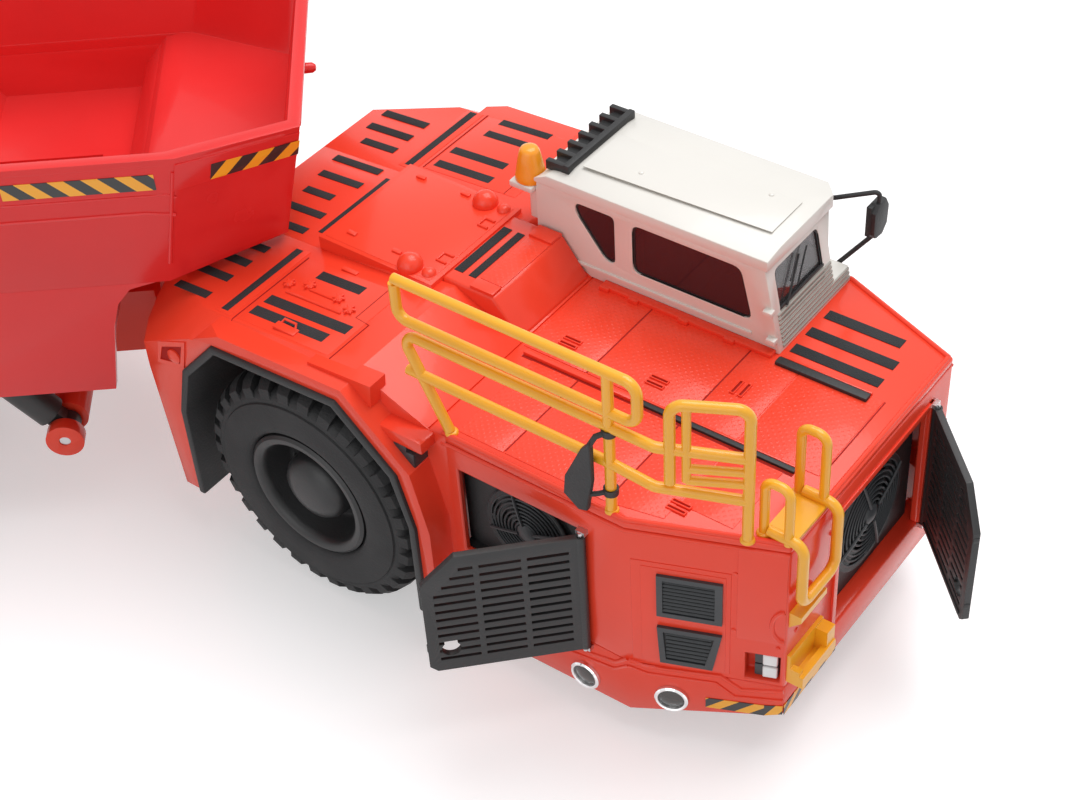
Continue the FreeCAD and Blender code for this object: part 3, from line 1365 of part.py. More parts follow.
HOIST_RUN = "sqrt((hoist_foot_u - hoist_head_u)^2 + (hoist_head_z - hoist_foot_z)^2)"
HOIST_LEAN = "atan2(hoist_head_u - hoist_foot_u; hoist_head_z - hoist_foot_z)"
STAGE_FOOT = "lug_radius + stage_step"
STAGE_RUN = f"{HOIST_RUN} - lug_radius - head_room"


def along_hoist(piece, side):
    """Seat a piece built upward from the hoist's foot along the cylinder."""
    sign = "-" if side == "right" else ""
    return place(piece, "hoist_foot_u", f"{sign}hoist_offset", "hoist_foot_z", (0, 1, 0), HOIST_LEAN)


def hoist(side):
    """One telescopic hoist cylinder: barrel, sleeve and rod."""
    eye = rod(f"foot_eye_{side}", "y", (0, "-eye_half", 0), "2 * eye_half", "eye_radius")
    neck = block(f"foot_neck_{side}", ("-neck_half", "neck_half"), ("-eye_half", "eye_half"), (0, "lug_radius + 1"))
    barrel = rod(f"barrel_{side}", "z", (0, 0, STAGE_FOOT), STAGE_RUN, "barrel_radius")
    foot_hole = rod(f"foot_hole_{side}", "y", (0, "-eye_half - 1", 0), "2 * eye_half + 2", "eye_pin_radius")
    sleeve_bore = rod(f"sleeve_bore_{side}", "z", (0, 0, f"{STAGE_FOOT} + 1.3 * stage_step"), HOIST_RUN,
                      "sleeve_radius + stage_gap")
    piece = cut(f"hoist_barrel_{side}_cut", fuse(f"hoist_barrel_{side}_raw", [eye, neck, barrel]),
                [foot_hole, sleeve_bore])
    node(along_hoist(piece, side), f"hoist_barrel_{side}", "rear")
    sleeve = rod(f"sleeve_{side}", "z", (0, 0, f"{STAGE_FOOT} + 2 * stage_step"), STAGE_RUN, "sleeve_radius")
    rod_bore = rod(f"rod_bore_{side}", "z", (0, 0, f"{STAGE_FOOT} + 3 * stage_step"), HOIST_RUN,
                   "rod_radius + stage_gap")
    node(along_hoist(cut(f"hoist_sleeve_{side}_cut", sleeve, [rod_bore]), side), f"hoist_sleeve_{side}", "rear")
    shank = rod(f"rod_{side}", "z", (0, 0, f"{STAGE_FOOT} + 3.6 * stage_step"),
                f"{STAGE_RUN} + 5 * stage_step", "rod_radius")
    head_eye = rod(f"head_eye_{side}", "y", (0, "-eye_half", HOIST_RUN), "2 * eye_half", "eye_radius")
    head_hole = rod(f"head_hole_{side}", "y", (0, "-eye_half - 1", HOIST_RUN), "2 * eye_half + 2",
                    "eye_pin_radius + 0.2")
    piece = cut(f"hoist_rod_{side}_cut", fuse(f"hoist_rod_{side}_raw", [shank, head_eye]), [head_hole])
    node(along_hoist(piece, side), f"hoist_rod_{side}", "rear")


for side in SIDES:
    hoist(side)

# ---------------------------------------------------------------- vents, lamps and mirrors


def vent(name, side, low, high, taper):
    """A louvred vent plate on the nose's tapered side, narrower at its foot by a taper."""
    plate = prism(f"{name}_plate", "XZ", [
        (f"vent_start + {taper} / 3", low),
        (f"vent_end - {taper}", low),
        ("vent_end", high),
        ("vent_start", high),
    ], *inward(side, "-vent_thick", "0"))
    slots = []
    for i in range(5):
        rise = f"{low} + 0.6 + {i} * ({high} - {low} - 0.6) / 5"
        slots.append(block(f"{name}_slot_{i}", ("vent_start + vent_border", f"vent_end - vent_border - {taper}"),
                           inward(side, "-1", "1"), (rise, f"{rise} + slat_gap")))
    return on_taper(cut(f"{name}_cut", plate, slots), side)


vents = []
for side in SIDES:
    vents.append(vent(f"vent_{side}_low", side, "vent_low", "vent_split", "vent_taper"))
    vents.append(vent(f"vent_{side}_high", side, "vent_next", "vent_high", "0"))
node(vents, "nose_vents", "front")

ring_lamps = []
for side in SIDES:
    low, high = span(side, "deck_half", "deck_half + lamp_ring")
    ring_lamps.append(rod(f"round_lamp_{side}", "y", ("lamp_bend_x", low, "lamp_bend_z"),
                          "lamp_ring", "lamp_radius"))
    low, high = inward(side, "-lamp_ring", "0")
    ring_lamps.append(on_taper(rod(f"nose_lamp_{side}", "y", ("lamp_nose_s", low, "lamp_nose_z"),
                                   "lamp_ring", "lamp_radius"), side))
node(ring_lamps, "round_lamps", "front")

cubes = []
for side in SIDES:
    for i in range(2):
        rise = f"pocket_low + 0.4 + {i} * (lamp_size + 0.4)"
        cubes.append(on_taper(block(f"head_lamp_{side}_{i}", ("pocket_end - lamp_size - 0.4", "pocket_end - 0.4"),
                                    inward(side, "pocket_depth - lamp_size", "pocket_depth"),
                                    (rise, f"{rise} + lamp_size")), side))
node(cubes, "head_lamps", "front")

tails = []
for side in SIDES:
    tails.append(block(f"tail_lamp_{side}", ("rail_rear - 0.8", "rail_rear"),
                       span(side, "rail_out - tail_lamp_size", "rail_out"),
                       ("tail_lamp_low", "tail_lamp_low + tail_lamp_size")))
node(tails, "tail_lamps", "rear")

# the left mirror hangs from the cab's front corner, the right one from the handrail
mirror_arm = tube("mirror_arm", [
    ("cab_top_front - 1", "cab_left", "roof_low - 0.6"),
    ("mirror_x + 1", "mirror_y", "mirror_z + mirror_high / 2 + 2"),
    ("mirror_x + 1", "mirror_y", "mirror_z - mirror_high / 2"),
    ("cab_top_front", "cab_left", "corner_low - 1"),
], "mirror_arm", "0.6")
mirror_head = block("mirror_head", ("mirror_x", "mirror_x + mirror_thick"),
                    ("mirror_y - mirror_wide / 2", "mirror_y + mirror_wide / 2"),
                    ("mirror_z - mirror_high / 2", "mirror_z + mirror_high / 2"))
node(cut("mirror_cut", fuse("mirror_fuse", [mirror_arm, mirror_head]), [cab_outer]), "mirror_left", "front")

# ---------------------------------------------------------------- export

doc.recompute()
for item in doc.Objects:
    if "Invalid" in item.State or "Error" in item.State:
        raise RuntimeError(f"{item.Name} failed: {item.State}")
for item in NODES:
    if item.Shape.isNull() or not item.Shape.isValid():
        raise RuntimeError(f"{item.Label} has no valid shape")
os.makedirs("parts", exist_ok=True)
for item in NODES:
    item.Shape.exportStep(f"parts/{item.Label}.step")
    print(f"{item.Label}: {len(item.Shape.Solids)} solids, {item.Shape.Volume:.1f} mm3")
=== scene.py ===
"""Looks of a 1:50 model of an articulated underground mining truck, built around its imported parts."""

import json
import logging
import math
from dataclasses import dataclass, field
from enum import Enum
from typing import Any, Iterable, Optional, Sequence

import bmesh
import bpy
from mathutils import Matrix, Vector

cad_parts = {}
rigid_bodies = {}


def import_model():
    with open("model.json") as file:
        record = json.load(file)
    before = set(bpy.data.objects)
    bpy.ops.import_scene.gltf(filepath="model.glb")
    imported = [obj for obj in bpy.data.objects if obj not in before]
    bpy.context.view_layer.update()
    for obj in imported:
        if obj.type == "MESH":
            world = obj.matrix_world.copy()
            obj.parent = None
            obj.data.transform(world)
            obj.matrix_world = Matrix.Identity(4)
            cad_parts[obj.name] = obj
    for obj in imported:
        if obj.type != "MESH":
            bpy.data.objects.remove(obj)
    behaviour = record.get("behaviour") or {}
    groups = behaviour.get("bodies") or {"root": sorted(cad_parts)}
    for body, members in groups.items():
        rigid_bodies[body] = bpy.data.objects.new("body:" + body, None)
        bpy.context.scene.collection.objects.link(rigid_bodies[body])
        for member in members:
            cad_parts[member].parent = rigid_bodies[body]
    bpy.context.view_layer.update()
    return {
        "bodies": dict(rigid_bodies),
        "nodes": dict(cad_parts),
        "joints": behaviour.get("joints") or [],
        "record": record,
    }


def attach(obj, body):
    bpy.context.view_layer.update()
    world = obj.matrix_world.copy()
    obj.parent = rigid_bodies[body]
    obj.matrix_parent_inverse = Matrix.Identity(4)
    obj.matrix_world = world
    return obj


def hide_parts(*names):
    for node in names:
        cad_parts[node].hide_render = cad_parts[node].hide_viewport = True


log = logging.getLogger("mining_truck")
MM = 0.001
Flat = tuple[float, float]
Point = tuple[float, float, float]
Run = tuple[float, float, float, float]
Tree = bpy.types.NodeTree
Node = bpy.types.Node
Socket = bpy.types.NodeSocket
Vert = bmesh.types.BMVert


def add(tree: Tree, kind: str, inputs: Optional[dict[Any, Any]] = None, **settings: Any) -> Node:
    """Add a node to a tree, with its settings, its constants and what feeds it.

    Args:
        tree: The node tree.
        kind: The node's type.
        inputs: A number, a colour or another node's socket for each input that is used.
        settings: The node's own properties.

    Returns:
        The node.
    """
    node = tree.nodes.new(kind)
    for name, value in settings.items():
        setattr(node, name, value)
    for name, value in (inputs or {}).items():
        if isinstance(value, Socket):
            tree.links.new(value, node.inputs[name])
        else:
            node.inputs[name].default_value = value
    return node


class Pattern(Enum):
    """What a finish shows besides its colour."""

    PLAIN = "plain"
    CHEQUER = "chequer"
    HAZARD = "hazard"
    BRUSHED = "brushed"


@dataclass(frozen=True)
class Finish:
    """One procedural finish of the model, in metres on Object coordinates."""

    name: str
    colour: Point
    roughness: float
    metallic: float = 0.0
    coat: float = 0.0
    gloss: float = 0.5
    transmission: float = 0.0
    ior: float = 1.45
    mottle: float = 0.04
    grain: float = 0.0006
    relief: float = 0.08
    pattern: Pattern = Pattern.PLAIN
    second: Point = (0.02, 0.02, 0.02)
    pitch: float = 0.0011
    coat_roughness: float = 0.04
    mottle_waves: float = 55.0
    mottle_span: Flat = (0.35, 0.65)
    sheen_waves: float = 120.0
    sheen_spread: Flat = (0.8, 1.25)
    smoothest: float = 0.02
    bump_depth: float = 0.0002
    brush_stretch: float = 12.0
    dot: Flat = (0.18, 0.30)

    def material(self) -> bpy.types.Material:
        """Build the material once, and give it back to every piece that asks.

        Returns:
            The material with this finish's name.
        """
        known = bpy.data.materials.get(self.name)
        if known is not None:
            return known
        made = bpy.data.materials.new(self.name)
        made.use_nodes = True
        tree = made.node_tree
        tree.nodes.clear()
        shader = add(tree, "ShaderNodeBsdfPrincipled", {
            "Metallic": self.metallic, "Coat Weight": self.coat, "Coat Roughness": self.coat_roughness,
            "Specular IOR Level": self.gloss, "Transmission Weight": self.transmission, "IOR": self.ior})
        add(tree, "ShaderNodeOutputMaterial", {"Surface": shader.outputs["BSDF"]})
        self._colour(tree, shader)
        self._surface(tree, shader)
        return made

    def _noise(self, tree: Tree, waves: float, detail: float = 3.0) -> Socket:
        """Add a noise over Object coordinates.

        Args:
            tree: The material's node tree.
            waves: Waves per metre.
            detail: Octaves of the noise.

        Returns:
            The noise's value.
        """
        place = add(tree, "ShaderNodeTexCoord")
        return add(tree, "ShaderNodeTexNoise", {
            "Vector": place.outputs["Object"], "Scale": waves, "Detail": detail}).outputs["Fac"]

    def _colour(self, tree: Tree, shader: Node) -> None:
        """Give the shader its colour: a soft mottle over the base, or hazard stripes.

        Args:
            tree: The material's node tree.
            shader: The Principled node.
        """
        ramp = add(tree, "ShaderNodeValToRGB", {"Fac": self._noise(tree, self.mottle_waves)})
        low, high = ramp.color_ramp.elements
        low.position, high.position = self.mottle_span
        low.color = (*[c * (1 - self.mottle) for c in self.colour], 1)
        high.color = (*[min(1.0, c * (1 + self.mottle)) for c in self.colour], 1)
        source = ramp.outputs["Color"]
        if self.pattern is Pattern.HAZARD:
            source = self._stripes(tree, source)
        tree.links.new(source, shader.inputs["Base Color"])

    def _stripes(self, tree: Tree, source: Socket) -> Socket:
        """Lay slanted bars of the second colour over the first, along the piece's own UV map.

        Args:
            tree: The material's node tree.
            source: The first colour.

        Returns:
            The striped colour.
        """
        uv = add(tree, "ShaderNodeUVMap", uv_map="bars")
        split = add(tree, "ShaderNodeSeparateXYZ", {"Vector": uv.outputs["UV"]})
        wave = add(tree, "ShaderNodeMath", {0: split.outputs["X"]}, operation="FRACT")
        step = add(tree, "ShaderNodeMath", {0: wave.outputs[0], 1: 0.5}, operation="GREATER_THAN")
        return add(tree, "ShaderNodeMix", {"Factor": step.outputs[0], 6: source, 7: (*self.second, 1)},
                   data_type="RGBA").outputs[2]

    def _surface(self, tree: Tree, shader: Node) -> None:
        """Give the shader its roughness and relief.

        Args:
            tree: The material's node tree.
            shader: The Principled node.
        """
        smooth, rough = self.sheen_spread
        spread = add(tree, "ShaderNodeMapRange", {
            "Value": self._noise(tree, self.sheen_waves, 4.0),
            "To Min": max(self.smoothest, self.roughness * smooth),
            "To Max": min(1.0, self.roughness * rough)})
        tree.links.new(spread.outputs["Result"], shader.inputs["Roughness"])
        if self.pattern is Pattern.CHEQUER:
            height = self._chequer(tree)
        elif self.pattern is Pattern.BRUSHED:
            height = self._brushed(tree)
        else:
            height = self._noise(tree, 1.0 / self.grain, 2.0)
        bump = add(tree, "ShaderNodeBump", {
            "Strength": self.relief, "Distance": self.bump_depth, "Height": height})
        tree.links.new(bump.outputs["Normal"], shader.inputs["Normal"])
        if self.coat > 0:
            tree.links.new(bump.outputs["Normal"], shader.inputs["Coat Normal"])

    def _brushed(self, tree: Tree) -> Socket:
        """Draw a noise out across the metal, as brushing does.

        Args:
            tree: The material's node tree.

        Returns:
            The height of the metal.
        """
        place = add(tree, "ShaderNodeTexCoord")
        drawn = add(tree, "ShaderNodeMapping", {
            "Vector": place.outputs["Object"], "Scale": (1.0, 1.0, self.brush_stretch)})
        return add(tree, "ShaderNodeTexNoise", {
            "Vector": drawn.outputs["Vector"], "Scale": 1.0 / self.grain}).outputs["Fac"]

    def _chequer(self, tree: Tree) -> Socket:
        """Raise a grid of small round dots, as an anti-slip plate has.

        Args:
            tree: The material's node tree.

        Returns:
            The height of the plate.
        """
        place = add(tree, "ShaderNodeTexCoord")
        cells = add(tree, "ShaderNodeMapping", {
            "Vector": place.outputs["Object"], "Scale": (1 / self.pitch, 1 / self.pitch, 0.0),
            "Rotation": (0, 0, math.radians(45))})
        cell = add(tree, "ShaderNodeVectorMath", {0: cells.outputs["Vector"]}, operation="FRACTION")
        reach = add(tree, "ShaderNodeVectorMath", {0: cell.outputs["Vector"], 1: (0.5, 0.5, 0.0)},
                    operation="DISTANCE")
        inner, outer = self.dot
        return add(tree, "ShaderNodeMapRange", {
            "Value": reach.outputs["Value"], "From Min": inner, "From Max": outer,
            "To Min": 1.0, "To Max": 0.0}, interpolation_type="SMOOTHSTEP").outputs["Result"]


class Paints:
    """Every finish on the model."""

    ENAMEL = {"coat": 0.12, "gloss": 0.35, "mottle": 0.03}
    CAST = {"grain": 0.0009, "relief": 0.04}
    RED = Finish("red_enamel", (0.87, 0.060, 0.027), 0.24, **ENAMEL, **CAST)
    # Painted shade: the box's red is darker and bluer than the front unit's red, standing in for the shade
    # that falls inside the box and on its front walls.
    RED_BOX = Finish("box_red_darkened_as_shade", (0.77, 0.028, 0.028), 0.24, **ENAMEL, **CAST)
    RED_PLATE = Finish("red_chequer_plate", (0.87, 0.060, 0.027), 0.27, **ENAMEL,
                       pattern=Pattern.CHEQUER, relief=0.22, pitch=0.0008)
    CREAM = Finish("cream_cab_paint", (0.76, 0.735, 0.69), 0.34, coat=0.2, mottle=0.015, grain=0.0008,
                   relief=0.05)
    YELLOW = Finish("amber_rail_paint", (0.90, 0.42, 0.018), 0.30, coat=0.3, mottle=0.05, grain=0.0006)
    BLACK = Finish("matt_black_moulding", (0.018, 0.018, 0.019), 0.52, mottle=0.12, grain=0.0004, relief=0.25)
    GREY = Finish("dark_grey_moulding", (0.040, 0.043, 0.047), 0.45, mottle=0.08, grain=0.0004, relief=0.2)
    RUBBER = Finish("tyre_rubber", (0.016, 0.016, 0.017), 0.68, mottle=0.2, grain=0.0003, relief=0.4)
    RIM = Finish("satin_black_rim", (0.020, 0.020, 0.021), 0.38, mottle=0.1, grain=0.0004, relief=0.12)
    AXLE = Finish("satin_black_metal", (0.03, 0.03, 0.03), 0.4, mottle=0.1)
    STEEL = Finish("turned_steel", (0.56, 0.56, 0.57), 0.28, metallic=1.0, pattern=Pattern.BRUSHED,
                   grain=0.0002)
    CHROME = Finish("bright_chrome", (0.82, 0.82, 0.83), 0.09, metallic=1.0, mottle=0.02, relief=0.02)
    GLASS = Finish("wine_tinted_glass", (0.10, 0.048, 0.060), 0.05, transmission=0.62, mottle=0.02,
                   relief=0.01)
    SCREEN = Finish("clear_windscreen", (0.62, 0.59, 0.61), 0.04, transmission=0.95, mottle=0.02,
                    relief=0.01)
    DOOR = Finish("charcoal_grille_moulding", (0.026, 0.026, 0.027), 0.45, mottle=0.08, grain=0.0004,
                  relief=0.2)
    # Painted shade: this dark crimson, laid in joints, slots, recesses and below the walkway's edge, stands
    # for the shade that falls in them.
    GAP_SHADE = Finish("shadowed_joint", (0.36, 0.014, 0.010), 0.7, gloss=0.2, mottle=0.12, grain=0.0004)
    AMBER = Finish("amber_lens", (1.0, 0.23, 0.0), 0.1, transmission=0.3, coat=0.3, mottle=0.02, relief=0.02)
    CLEAR = Finish("clear_lens", (0.82, 0.83, 0.85), 0.12, transmission=0.35, coat=0.5, mottle=0.02)
    RUBY = Finish("ruby_lens", (0.55, 0.01, 0.012), 0.15, transmission=0.4, coat=0.5, mottle=0.03)
    GRIT = Finish("anti_slip_tape", (0.017, 0.018, 0.020), 0.8, mottle=0.25, grain=0.00018, relief=0.9)
    BARS = Finish("hazard_bars", (0.95, 0.42, 0.02), 0.35, coat=0.3, pattern=Pattern.HAZARD)
    SMOKE = Finish("smoked_lens", (0.035, 0.032, 0.030), 0.12, coat=0.6, mottle=0.1, relief=0.02)
    STONE = Finish("cab_rib_paint", (0.36, 0.345, 0.31), 0.5, mottle=0.04, grain=0.0004)
    TRIM = Finish("cab_seat_cloth", (0.05, 0.05, 0.055), 0.85, mottle=0.3, grain=0.0003, relief=0.5)


DRESS: dict[str, tuple[str, ...]] = {
    "RED": ("front_frame", "fender_right", "fender_left", "hood", "hood_crest", "nose_shell", "bumper",
            "deck", "rear_frame"),
    # The box wears the red darkened as painted shade.
    "RED_BOX": ("box_tub", "box_trough", "box_well", "box_brackets"),
    "CREAM": ("cab_shell", "cab_roof", "beacon_bracket"),
    "YELLOW": ("handrail", "gate", "ladder"),
    "BLACK": ("arch_liner_right", "arch_liner_left", "radiator_side", "radiator_front", "roof_louvre",
              "mirror_left", "nose_vents"),
    "DOOR": ("grille_door_side", "grille_door_front"),
    "TRIM": ("seat",),
    "GLASS": ("cab_side_glass",),
    "SCREEN": ("windscreen",),
    "AMBER": ("beacon",),
    "CHROME": ("round_lamps",),
    "CLEAR": ("head_lamps",),
    "RUBY": ("tail_lamps",),
    "AXLE": ("axle_front", "axle_rear", "hoist_barrel_right", "hoist_barrel_left"),
    "STEEL": ("hitch_pin", "hoist_pins", "bed_pin", "door_hinges", "hoist_sleeve_right", "hoist_sleeve_left",
              "hoist_rod_right", "hoist_rod_left"),
    "RIM": ("rim_front_right", "rim_front_left", "rim_rear_right", "rim_rear_left"),
    "RUBBER": ("tyre_front_right", "tyre_front_left", "tyre_rear_right", "tyre_rear_left"),
}


class Layout:
    """Where the truck's two units stand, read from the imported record."""

    def __init__(self, frame: dict) -> None:
        """Find the front axle, the hitch and the turn of the rear unit.
        """
        self.joints = {j["name"]: j for j in frame["record"]["behaviour"]["joints"]}
        right = Vector(self.joints["roll_front_right"]["pos_m"])
        left = Vector(self.joints["roll_front_left"]["pos_m"])
        middle = (right + left) / 2
        self.front = Matrix.Translation((middle.x, middle.y, 0)) @ Matrix.Scale(MM, 4)
        hitch = Vector(self.joints["articulation"]["pos_m"])
        side = Vector(self.joints["roll_rear_left"]["axis"])
        turn = math.atan2(-side.x, side.y)
        self.rear = (Matrix.Translation((hitch.x, hitch.y, 0)) @ Matrix.Rotation(turn, 4, "Z")
                     @ Matrix.Scale(MM, 4))


class Form:
    """A closed mesh in the making, in the millimetres of one of the truck's units."""

    def __init__(self, name: str) -> None:
        """Start an empty mesh.

        Args:
            name: The piece's plain name.
        """
        self.name = name
        self.mesh = bmesh.new()
        self.bars = self.mesh.loops.layers.uv.new("bars")

    def _close(self, bottom: list[Vert], top: list[Vert]) -> list[bmesh.types.BMFace]:
        """Join two rings of points with walls, and cap both.

        Args:
            bottom: The first ring.
            top: The second ring, point for point.

        Returns:
            The faces made.
        """
        count = len(bottom)
        faces = [self.mesh.faces.new(list(reversed(bottom))), self.mesh.faces.new(top)]
        for i in range(count):
            j = (i + 1) % count
            faces.append(self.mesh.faces.new((bottom[i], bottom[j], top[j], top[i])))
        return faces

    def plate(self, outline: Sequence[Point], rise: Point, edge: float = 0.0) -> "Form":
        """Raise a flat outline by a vector, with its upper edge rounded.

        Args:
            outline: The corners, in order.
            rise: The way and height it is raised.
            edge: The width of the rounding.

        Returns:
            This form.
        """
        lift = Vector(rise)
        bottom = [self.mesh.verts.new(Vector(p)) for p in outline]
        top = [self.mesh.verts.new(Vector(p) + lift) for p in outline]
        faces = self._close(bottom, top)
        if edge > 0:
            bmesh.ops.bevel(self.mesh, geom=list(faces[1].edges), offset=edge, segments=2, profile=0.5,
                            affect="EDGES")
        return self

    def bar(self, low: Point, high: Point, edge: float = 0.0, turn: Optional[Matrix] = None) -> "Form":
        """Add a rounded block between two corners.

        Args:
            low: Its lowest corner.
            high: Its highest corner.
            edge: The rounding of all its edges.
            turn: Where the block is carried after it is made.

        Returns:
            This form.
        """
        a, b = Vector(low), Vector(high)
        ring = ((a.x, a.y), (b.x, a.y), (b.x, b.y), (a.x, b.y))
        bottom = [self.mesh.verts.new((x, y, a.z)) for x, y in ring]
        top = [self.mesh.verts.new((x, y, b.z)) for x, y in ring]
        faces = self._close(bottom, top)
        made = set(bottom + top)
        if edge > 0:
            edges = list({e for f in faces for e in f.edges})
            result = bmesh.ops.bevel(self.mesh, geom=edges, offset=edge, segments=2, profile=0.6,
                                     affect="EDGES")
            made = {v for v in made if v.is_valid} | set(result["verts"])
        if turn is not None:
            bmesh.ops.transform(self.mesh, matrix=turn, verts=list(made))
        return self

    def pipe(self, path: Sequence[Point], radius: float, sides: int = 10) -> "Form":
        """Run a round bar through points, with flat ends.

        Args:
            path: The middle line.
            radius: The bar's radius.
            sides: Sides of its section.

        Returns:
            This form.
        """
        points = [Vector(p) for p in path]
        rings = []
        normal: Optional[Vector] = None
        for i, point in enumerate(points):
            ahead = (points[min(i + 1, len(points) - 1)] - points[max(i - 1, 0)]).normalized()
            if normal is None:
                guide = Vector((0, 0, 1)) if abs(ahead.z) < 0.9 else Vector((1, 0, 0))
                normal = ahead.cross(guide).normalized()
            normal = (normal - ahead * normal.dot(ahead)).normalized()
            other = ahead.cross(normal)
            rings.append([self.mesh.verts.new(point + (normal * math.cos(t) + other * math.sin(t)) * radius)
                          for t in full_turn(sides)])
        for first, second in zip(rings, rings[1:]):
            for k in range(sides):
                j = (k + 1) % sides
                self.mesh.faces.new((first[k], first[j], second[j], second[k]))
        self.mesh.faces.new(list(reversed(rings[0])))
        self.mesh.faces.new(rings[-1])
        return self

    def lathe(self, profile: Sequence[Flat], seat: Matrix, steps: int = 48) -> "Form":
        """Turn an outline of (along, radius) about the local Z axis of a seat.

        Args:
            profile: The outline; ends at radius 0 close at one pole.
            seat: Where the turned piece is carried.
            steps: Steps round the axis.

        Returns:
            This form.
        """
        rings: list[list[Vert]] = []
        for along, radius in profile:
            if radius < 1e-6:
                rings.append([self.mesh.verts.new(seat @ Vector((0, 0, along)))])
                continue
            turns = full_turn(steps)
            rings.append([self.mesh.verts.new(
                seat @ Vector((radius * math.cos(t), radius * math.sin(t), along))) for t in turns])
        pairs = list(zip(rings, rings[1:]))
        if len(rings[0]) > 1 and len(rings[-1]) > 1:
            pairs.append((rings[-1], rings[0]))
        for first, second in pairs:
            for k in range(steps):
                j = (k + 1) % steps
                corners = [first[k % len(first)], first[j % len(first)], second[j % len(second)],
                           second[k % len(second)]]
                unique = list(dict.fromkeys(corners))
                if len(unique) > 2:
                    self.mesh.faces.new(unique)
        return self

    def ring(self, outer: Sequence[Point], inner: Sequence[Point], rise: Point) -> "Form":
        """Add a flat ring between two outlines of matching points, as thick as a vector.

        Args:
            outer: The outer outline.
            inner: The inner outline, point for point.
            rise: The way and height it is raised.

        Returns:
            This form.
        """
        lift = Vector(rise)
        rows = []
        for outline, move in ((outer, Vector()), (outer, lift), (inner, lift), (inner, Vector())):
            rows.append([self.mesh.verts.new(Vector(p) + move) for p in outline])
        count = len(outer)
        for first, second in zip(rows, rows[1:] + rows[:1]):
            for i in range(count):
                j = (i + 1) % count
                self.mesh.faces.new((first[i], first[j], second[j], second[i]))
        return self

    def band(self, outline: Sequence[Point], normal: Point, pitch: float, slant: float,
             thick: float = 0.08) -> "Form":
        """Lay a thin plate whose slanted bars run along its first edge.

        Args:
            outline: Four corners, the first two along the band's lower edge.
            normal: The way the band faces.
            pitch: Length of one pair of bars.
            slant: How far a bar leans over the band's width.
            thick: The band's thickness.

        Returns:
            This form.
        """
        before = set(self.mesh.faces)
        self.plate(outline, tuple(Vector(normal) * thick))
        start = Vector(outline[0])
        along = (Vector(outline[1]) - start).normalized()
        up = Vector(normal).cross(along)
        for face in set(self.mesh.faces) - before:
            for loop in face.loops:
                offset = loop.vert.co - start
                loop[self.bars].uv = ((offset.dot(along) + slant * offset.dot(up)) / pitch, 0.5)
        return self

    def done(self, seat: Matrix, paint: Finish, body: str, slot: str, hides: Sequence[str] = (),
             angle: float = 35.0) -> bpy.types.Object:
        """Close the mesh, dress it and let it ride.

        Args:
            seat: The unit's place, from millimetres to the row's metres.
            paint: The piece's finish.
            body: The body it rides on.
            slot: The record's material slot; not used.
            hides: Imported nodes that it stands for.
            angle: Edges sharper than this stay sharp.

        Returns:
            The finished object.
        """
        bmesh.ops.transform(self.mesh, matrix=seat, verts=self.mesh.verts)
        bmesh.ops.recalc_face_normals(self.mesh, faces=self.mesh.faces)
        data = bpy.data.meshes.new(self.name)
        self.mesh.to_mesh(data)
        self.mesh.free()
        return settle(self.name, data, paint, body, hides, angle)


def settle(name: str, data: bpy.types.Mesh, paint: Finish, body: str, hides: Sequence[str] = (),
           angle: float = 35.0) -> bpy.types.Object:
    """Make an object of a finished mesh, dress it and let it ride.

    Args:
        name: The piece's name.
        data: Its mesh, in the row's metres.
        paint: The piece's finish.
        body: The body it rides on.
        hides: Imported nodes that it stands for.
        angle: Edges sharper than this stay sharp.

    Returns:
        The finished object.
    """
    data.polygons.foreach_set("use_smooth", [True] * len(data.polygons))
    data.set_sharp_from_angle(angle=math.radians(angle))
    data.materials.clear()
    data.materials.append(paint.material())
    item = bpy.data.objects.new(name, data)
    bpy.context.scene.collection.objects.link(item)
    if hides:
        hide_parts(*hides)
    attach(item, body)
    log.info("%s: %d faces on %s", name, len(data.polygons), body)
    return item


def mirror_runs(runs: Iterable[Run]) -> list[Run]:
    """The same strips on both sides of the truck's middle.

    Args:
        runs: (start x, end x, middle y, width) of each strip on the left.

    Returns:
        The strips of both sides.
    """
    both = []
    for start, end, y, width in runs:
        both += [(start, end, y, width), (start, end, -y, width)]
    return both


def full_turn(steps: int) -> list[float]:
    """Angles of an even walk round a circle."""
    return [2 * math.pi * k / steps for k in range(steps)]


@dataclass
class Dressing:
    """A group of pieces, which knows where the truck's two units stand."""

    layout: Layout

    def front(self, form: Form, paint: Finish, slot: str, hides: Sequence[str] = (),
              seat: Optional[Matrix] = None) -> None:
        """Finish a form as a piece of the front unit.

        Args:
            form: The mesh, in the front unit's or the seat's millimetres.
            paint: The piece's finish.
            slot: The record's material slot.
            hides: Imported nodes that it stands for.
            seat: Where on the front unit it is carried, if not at its origin.
        """
        place = self.layout.front if seat is None else self.layout.front @ seat
        form.done(place, paint, "front", slot, hides)


